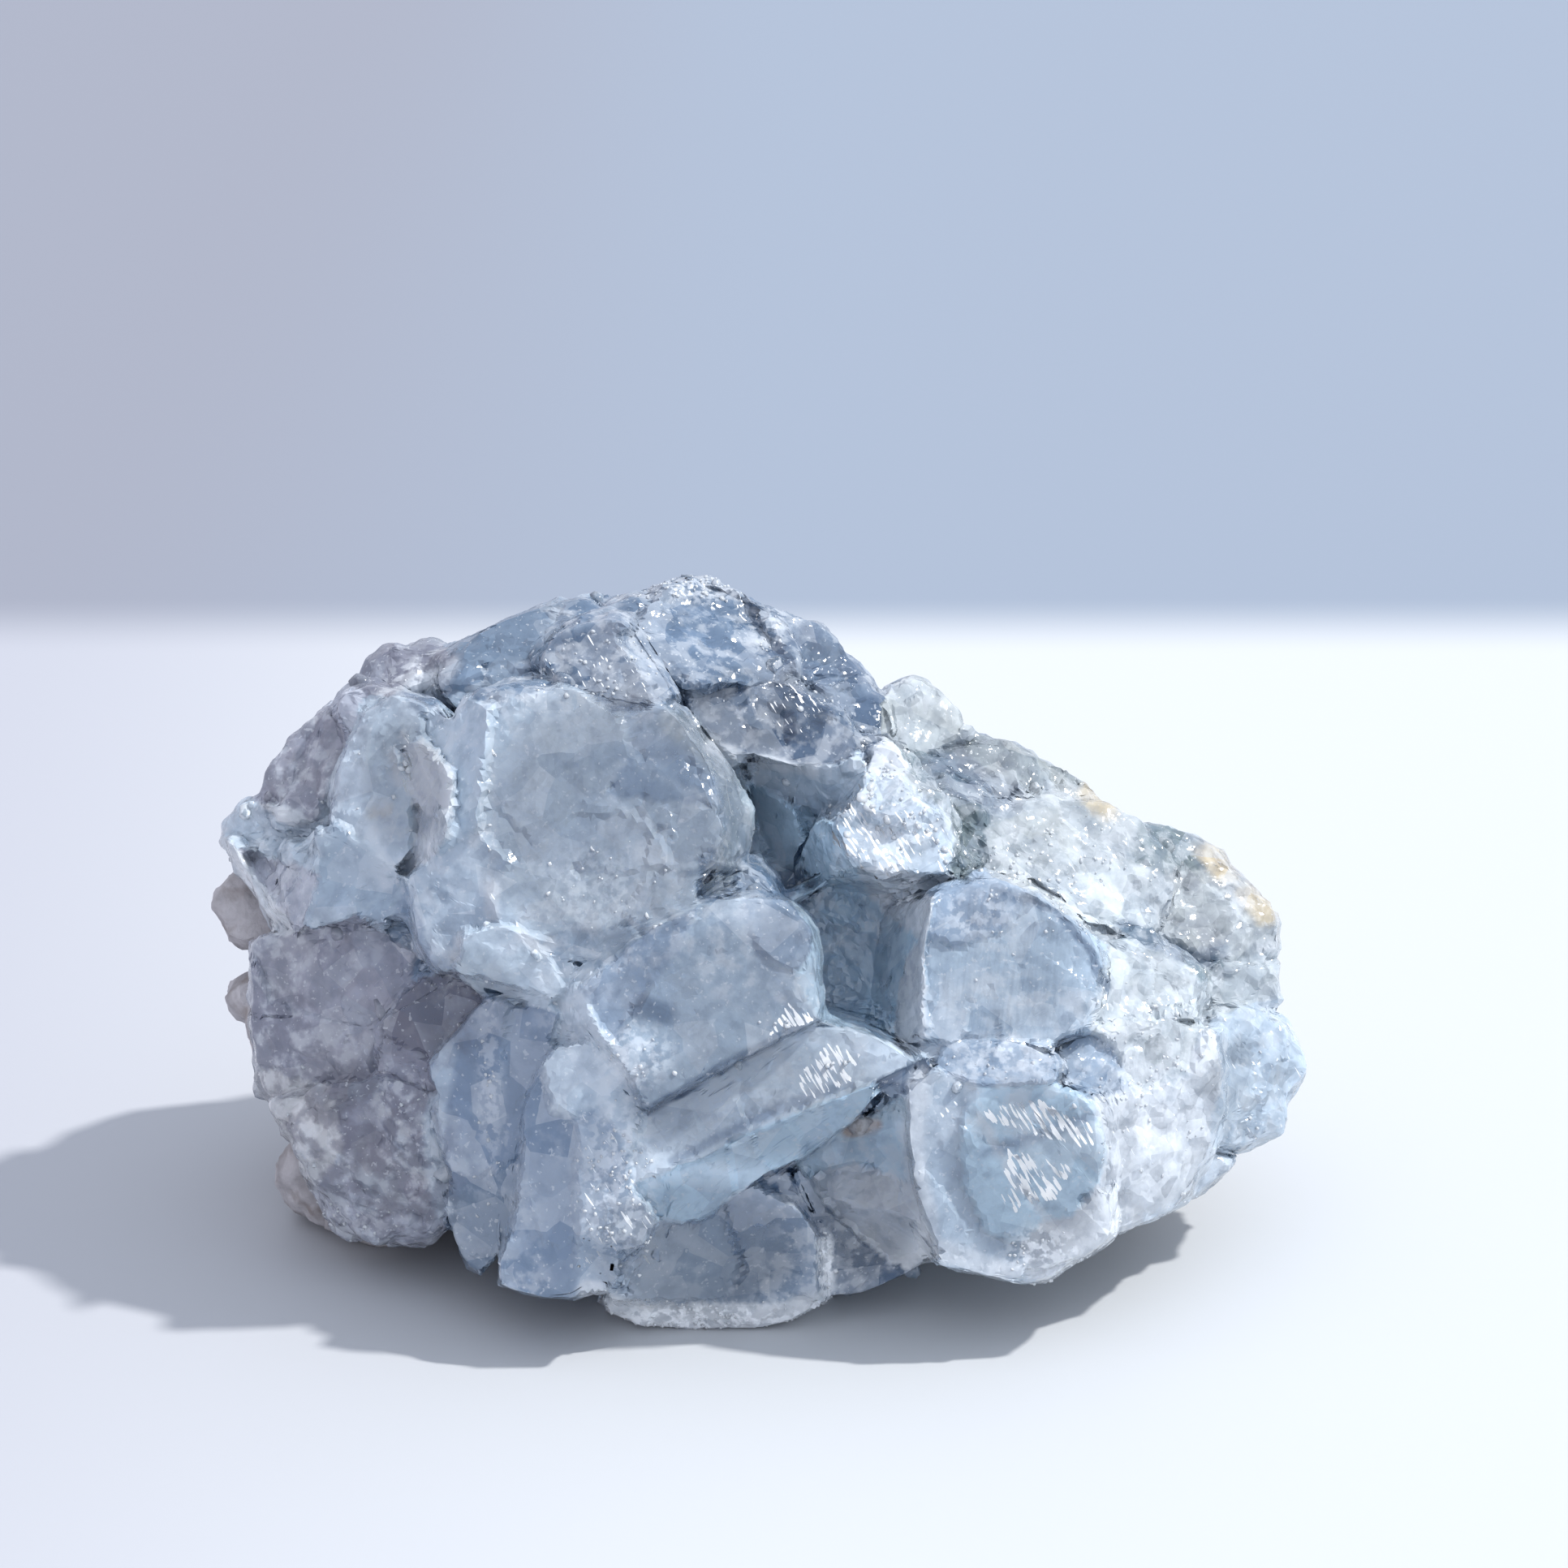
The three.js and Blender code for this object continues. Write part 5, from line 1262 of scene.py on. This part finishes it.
# Groups of cleavage flakes that catch the light: x, h, reach along x, reach along h, how many, size.
FLAKES = [
    (-28.8, 46.8, 0.7, 2.3, 4, 0.6), (-21.8, 43, 0.3, 8, 6, 0.3), (2.5, 25.7, 3, 1.6, 4, 0.4),
    (7, 21.8, 2.2, 1.8, 4, 0.4), (8.5, 42.5, 2.5, 3.5, 10, 0.8), (12.5, 40, 3, 3, 8, 0.6),
    (-13, 54.5, 4.5, 3, 12, 0.35), (-6, 60.5, 4, 1.5, 10, 0.4), (2, 51.5, 5, 2.5, 4, 0.5),
    (-11, 14, 3.5, 8, 14, 0.3), (30, 20, 6, 12, 14, 0.35), (24, 38, 8, 4, 10, 0.4),
    (-12, 36, 6, 4, 8, 0.3), (20, 33, 5, 5, 6, 0.3), (-33, 14, 8, 9, 10, 0.35),
    (-33, 42, 5, 4, 5, 0.35), (40, 20, 4, 5, 5, 0.35), (-24, 16, 5, 10, 6, 0.3),
]


def block(half, bevel, levels):
    """A blocky crystal's corners and triangles: a box whose long edges are cut, ring above ring."""
    ring = [(1, 1 - bevel), (1 - bevel, 1), (bevel - 1, 1), (-1, 1 - bevel),
            (-1, bevel - 1), (bevel - 1, -1), (1 - bevel, -1), (1, bevel - 1)]
    corners = [(x * wide, y * wide, z) for z, wide in levels for x, y in ring]
    top = 8 * (len(levels) - 1)
    faces = []
    for low in range(0, top, 8):
        for k in range(8):
            after = (k + 1) % 8
            faces += [(low + k, low + after, low + 8 + after), (low + k, low + 8 + after, low + 8 + k)]
    for k in range(1, 7):
        faces += [(0, k + 1, k), (top, top + k, top + k + 1)]
    return np.array(corners) * half, np.array(faces)


def turned(rng, along, spread):
    """Three axes at random round a way that strays from along by about spread."""
    third = of_length_1(along + rng.normal(0, spread, 3))
    first = of_length_1(np.cross(third, rng.normal(0, 1, 3)))
    return np.stack([first, np.cross(third, first), third])


def crystal_at(place, half, bevel, axes, levels=PLAIN):
    """The corners and triangles of a block that stands at a place, along three axes."""
    corners, faces = block(half, bevel, levels)
    return place + corners @ axes, faces


def strewn(rng, points, triangles, weight):
    """Random places on the triangles, each with its triangle's normal."""
    area = np.linalg.norm(crosses(points, triangles), axis=1) * weight
    chosen = triangles[rng.choice(len(triangles), DRUSE_COUNT, p=area / area.sum())]
    u, v = rng.random((2, DRUSE_COUNT, 1))
    flip = u + v > 1
    u, v = np.where(flip, 1 - u, u), np.where(flip, 1 - v, v)
    a, b, c = (points[chosen[:, k]] for k in range(3))
    return a + u * (b - a) + v * (c - a), normals_of(points, chosen)


def joined(name, pieces, material, **tints):
    """One mesh of many small closed pieces, each given as corners and triangles."""
    counts = np.array([len(corners) for corners, _ in pieces])
    starts = np.concatenate([[0], np.cumsum(counts)[:-1]])
    points = np.concatenate([corners for corners, _ in pieces])
    triangles = np.concatenate([faces + start for (_, faces), start in zip(pieces, starts)])
    spread = {key: np.repeat(values, counts, axis=0) for key, values in tints.items()}
    return make_object(name, points, triangles, material, **spread)


def frosted_weight(centres, normals):
    """Where small white crystals crowd, as a share for each triangle."""
    patchy = smooth_step(-0.1, 0.4, wave(centres, 2.5, 41))
    frosted = strongest(seen(centres)[0], FROST, FROST_SOFT)
    return frosted * smooth_step(-0.3, 0.1, normals @ OUT) * (0.05 + patchy)


def druse(points, triangles):
    """Small blocky crystals that stand on the frosted patches."""
    rng = np.random.default_rng(7)
    weight = frosted_weight(points[triangles].mean(axis=1), normals_of(points, triangles))
    pieces = []
    for place, normal in zip(*strewn(rng, points, triangles, weight)):
        size = rng.uniform(*DRUSE_SIZE) * rng.uniform(0.5, 1)
        axes = turned(rng, normal, 0.5)
        half = size * rng.uniform([0.35, 0.3, 0.4], [0.6, 0.5, 0.9])
        pieces.append(crystal_at(place - normal * size * 0.15, half, rng.uniform(0.15, 0.5), axes))
    tints = WHITE * rng.uniform(0.8, 1.0, (DRUSE_COUNT, 1))
    place_on(joined("white_druse", pieces, druse_material(), tint=tints))


def young_crystals(surface, triangles, tint, seams):
    """Small crystals that grew where the large ones meet."""
    rng = np.random.default_rng(23)
    seeds = seams[(seen(seams)[1] > YOUNG_FROM_OUT) & (seams[:, 2] > YOUNG_FROM_Z)]
    pieces, tints, frost = [], [], []
    for seed in seeds[rng.choice(len(seeds), YOUNG_COUNT, replace=False)]:
        place, normal, face, _ = surface.find_nearest(Vector(seed + rng.normal(0, 0.5, 3)))
        size = rng.uniform(*YOUNG_SIZE) * rng.uniform(0.4, 1)
        half = size * rng.uniform([0.3, 0.2, 0.4], [0.55, 0.4, 0.7])
        bevel = rng.uniform(0.2, 0.6)
        sunk = np.array(place) - np.array(normal) * half[2] * 0.5
        pieces.append(crystal_at(sunk, half, bevel, turned(rng, np.array(normal), 0.45), ROOFED))
        tints.append(tint[triangles[face][0]] * rng.uniform(0.85, 1.1))
        frost.append(rng.uniform(0, 0.7))
    made = joined("young_crystals", pieces, celestite_material("young", 0), tint=np.array(tints),
                  frost=np.array(frost), clear=np.full(len(pieces), 0.5), rough=np.full(len(pieces), 0.1))
    place_on(made)


def flakes(surface):
    """Thin plates, partly sunk in the crystals, that lie close to one plane."""
    rng = np.random.default_rng(19)
    pieces = []
    for x, h, reach_x, reach_h, count, size in FLAKES:
        for _ in range(count):
            aimed_at = np.array([x, h]) + rng.normal(0, 0.5, 2) * [reach_x, reach_h]
            way = Vector(show(aimed_at, 0) - EYE_PLACE).normalized()
            place = surface.ray_cast(Vector(EYE_PLACE), way)[0]
            if place is None:
                continue
            length = size * rng.uniform(0.5, 1.3)
            half = np.array([length * 0.5, length * rng.uniform(0.2, 0.5), rng.uniform(0.06, 0.12)])
            bevel = rng.uniform(0.2, 0.7)
            pieces.append(crystal_at(np.array(place), half, bevel, turned(rng, GLINT, 0.05)))
    tints = WHITE * rng.uniform(0.85, 1.0, (len(pieces), 1))
    place_on(joined("cleavage_flakes", pieces, flake_material(), tint=tints))


# ---- the rind ----

SEAT = (-1, 30, 35, 21)  # where the rind lies against the crystals, and is pale and smooth
RIND_EDGE = 0.6
RIND_CREASE_DEG = 60


def rind():
    points, triangles = arrays_of("matrix_rind")
    alike = np.zeros(len(triangles), int)
    points, triangles, _ = refined(points, triangles, alike, lambda places: RIND_EDGE)
    normals = vertex_normals(points, triangles)
    lift = 0.35 * rough_wave(points, 3.0, 21) + 0.12 * rough_wave(points, 0.9, 25)
    resting = smooth_step(0, 1.5, points[:, 2])
    seat = spot(seen(points)[0], *SEAT, soft=0.1) * smooth_step(0.0, 0.3, normals @ OUT)
    moved = points + normals * (lift * resting * (1 - seat))[:, None]
    made = make_object("rind", moved, triangles, rind_material(), RIND_CREASE_DEG, seat=seat)
    place_on(made, "matrix_rind")


make_camera()
make_floor()
make_light()
limit_bounces()
bpy.context.scene.view_settings.view_transform = "Standard"
crust_points, crust_triangles, crust_tint, crust_seams = crystals()
crust = BVHTree.FromPolygons(crust_points.tolist(), crust_triangles.tolist())
young_crystals(crust, crust_triangles, crust_tint, crust_seams)
druse(crust_points, crust_triangles)
flakes(crust)
rind()
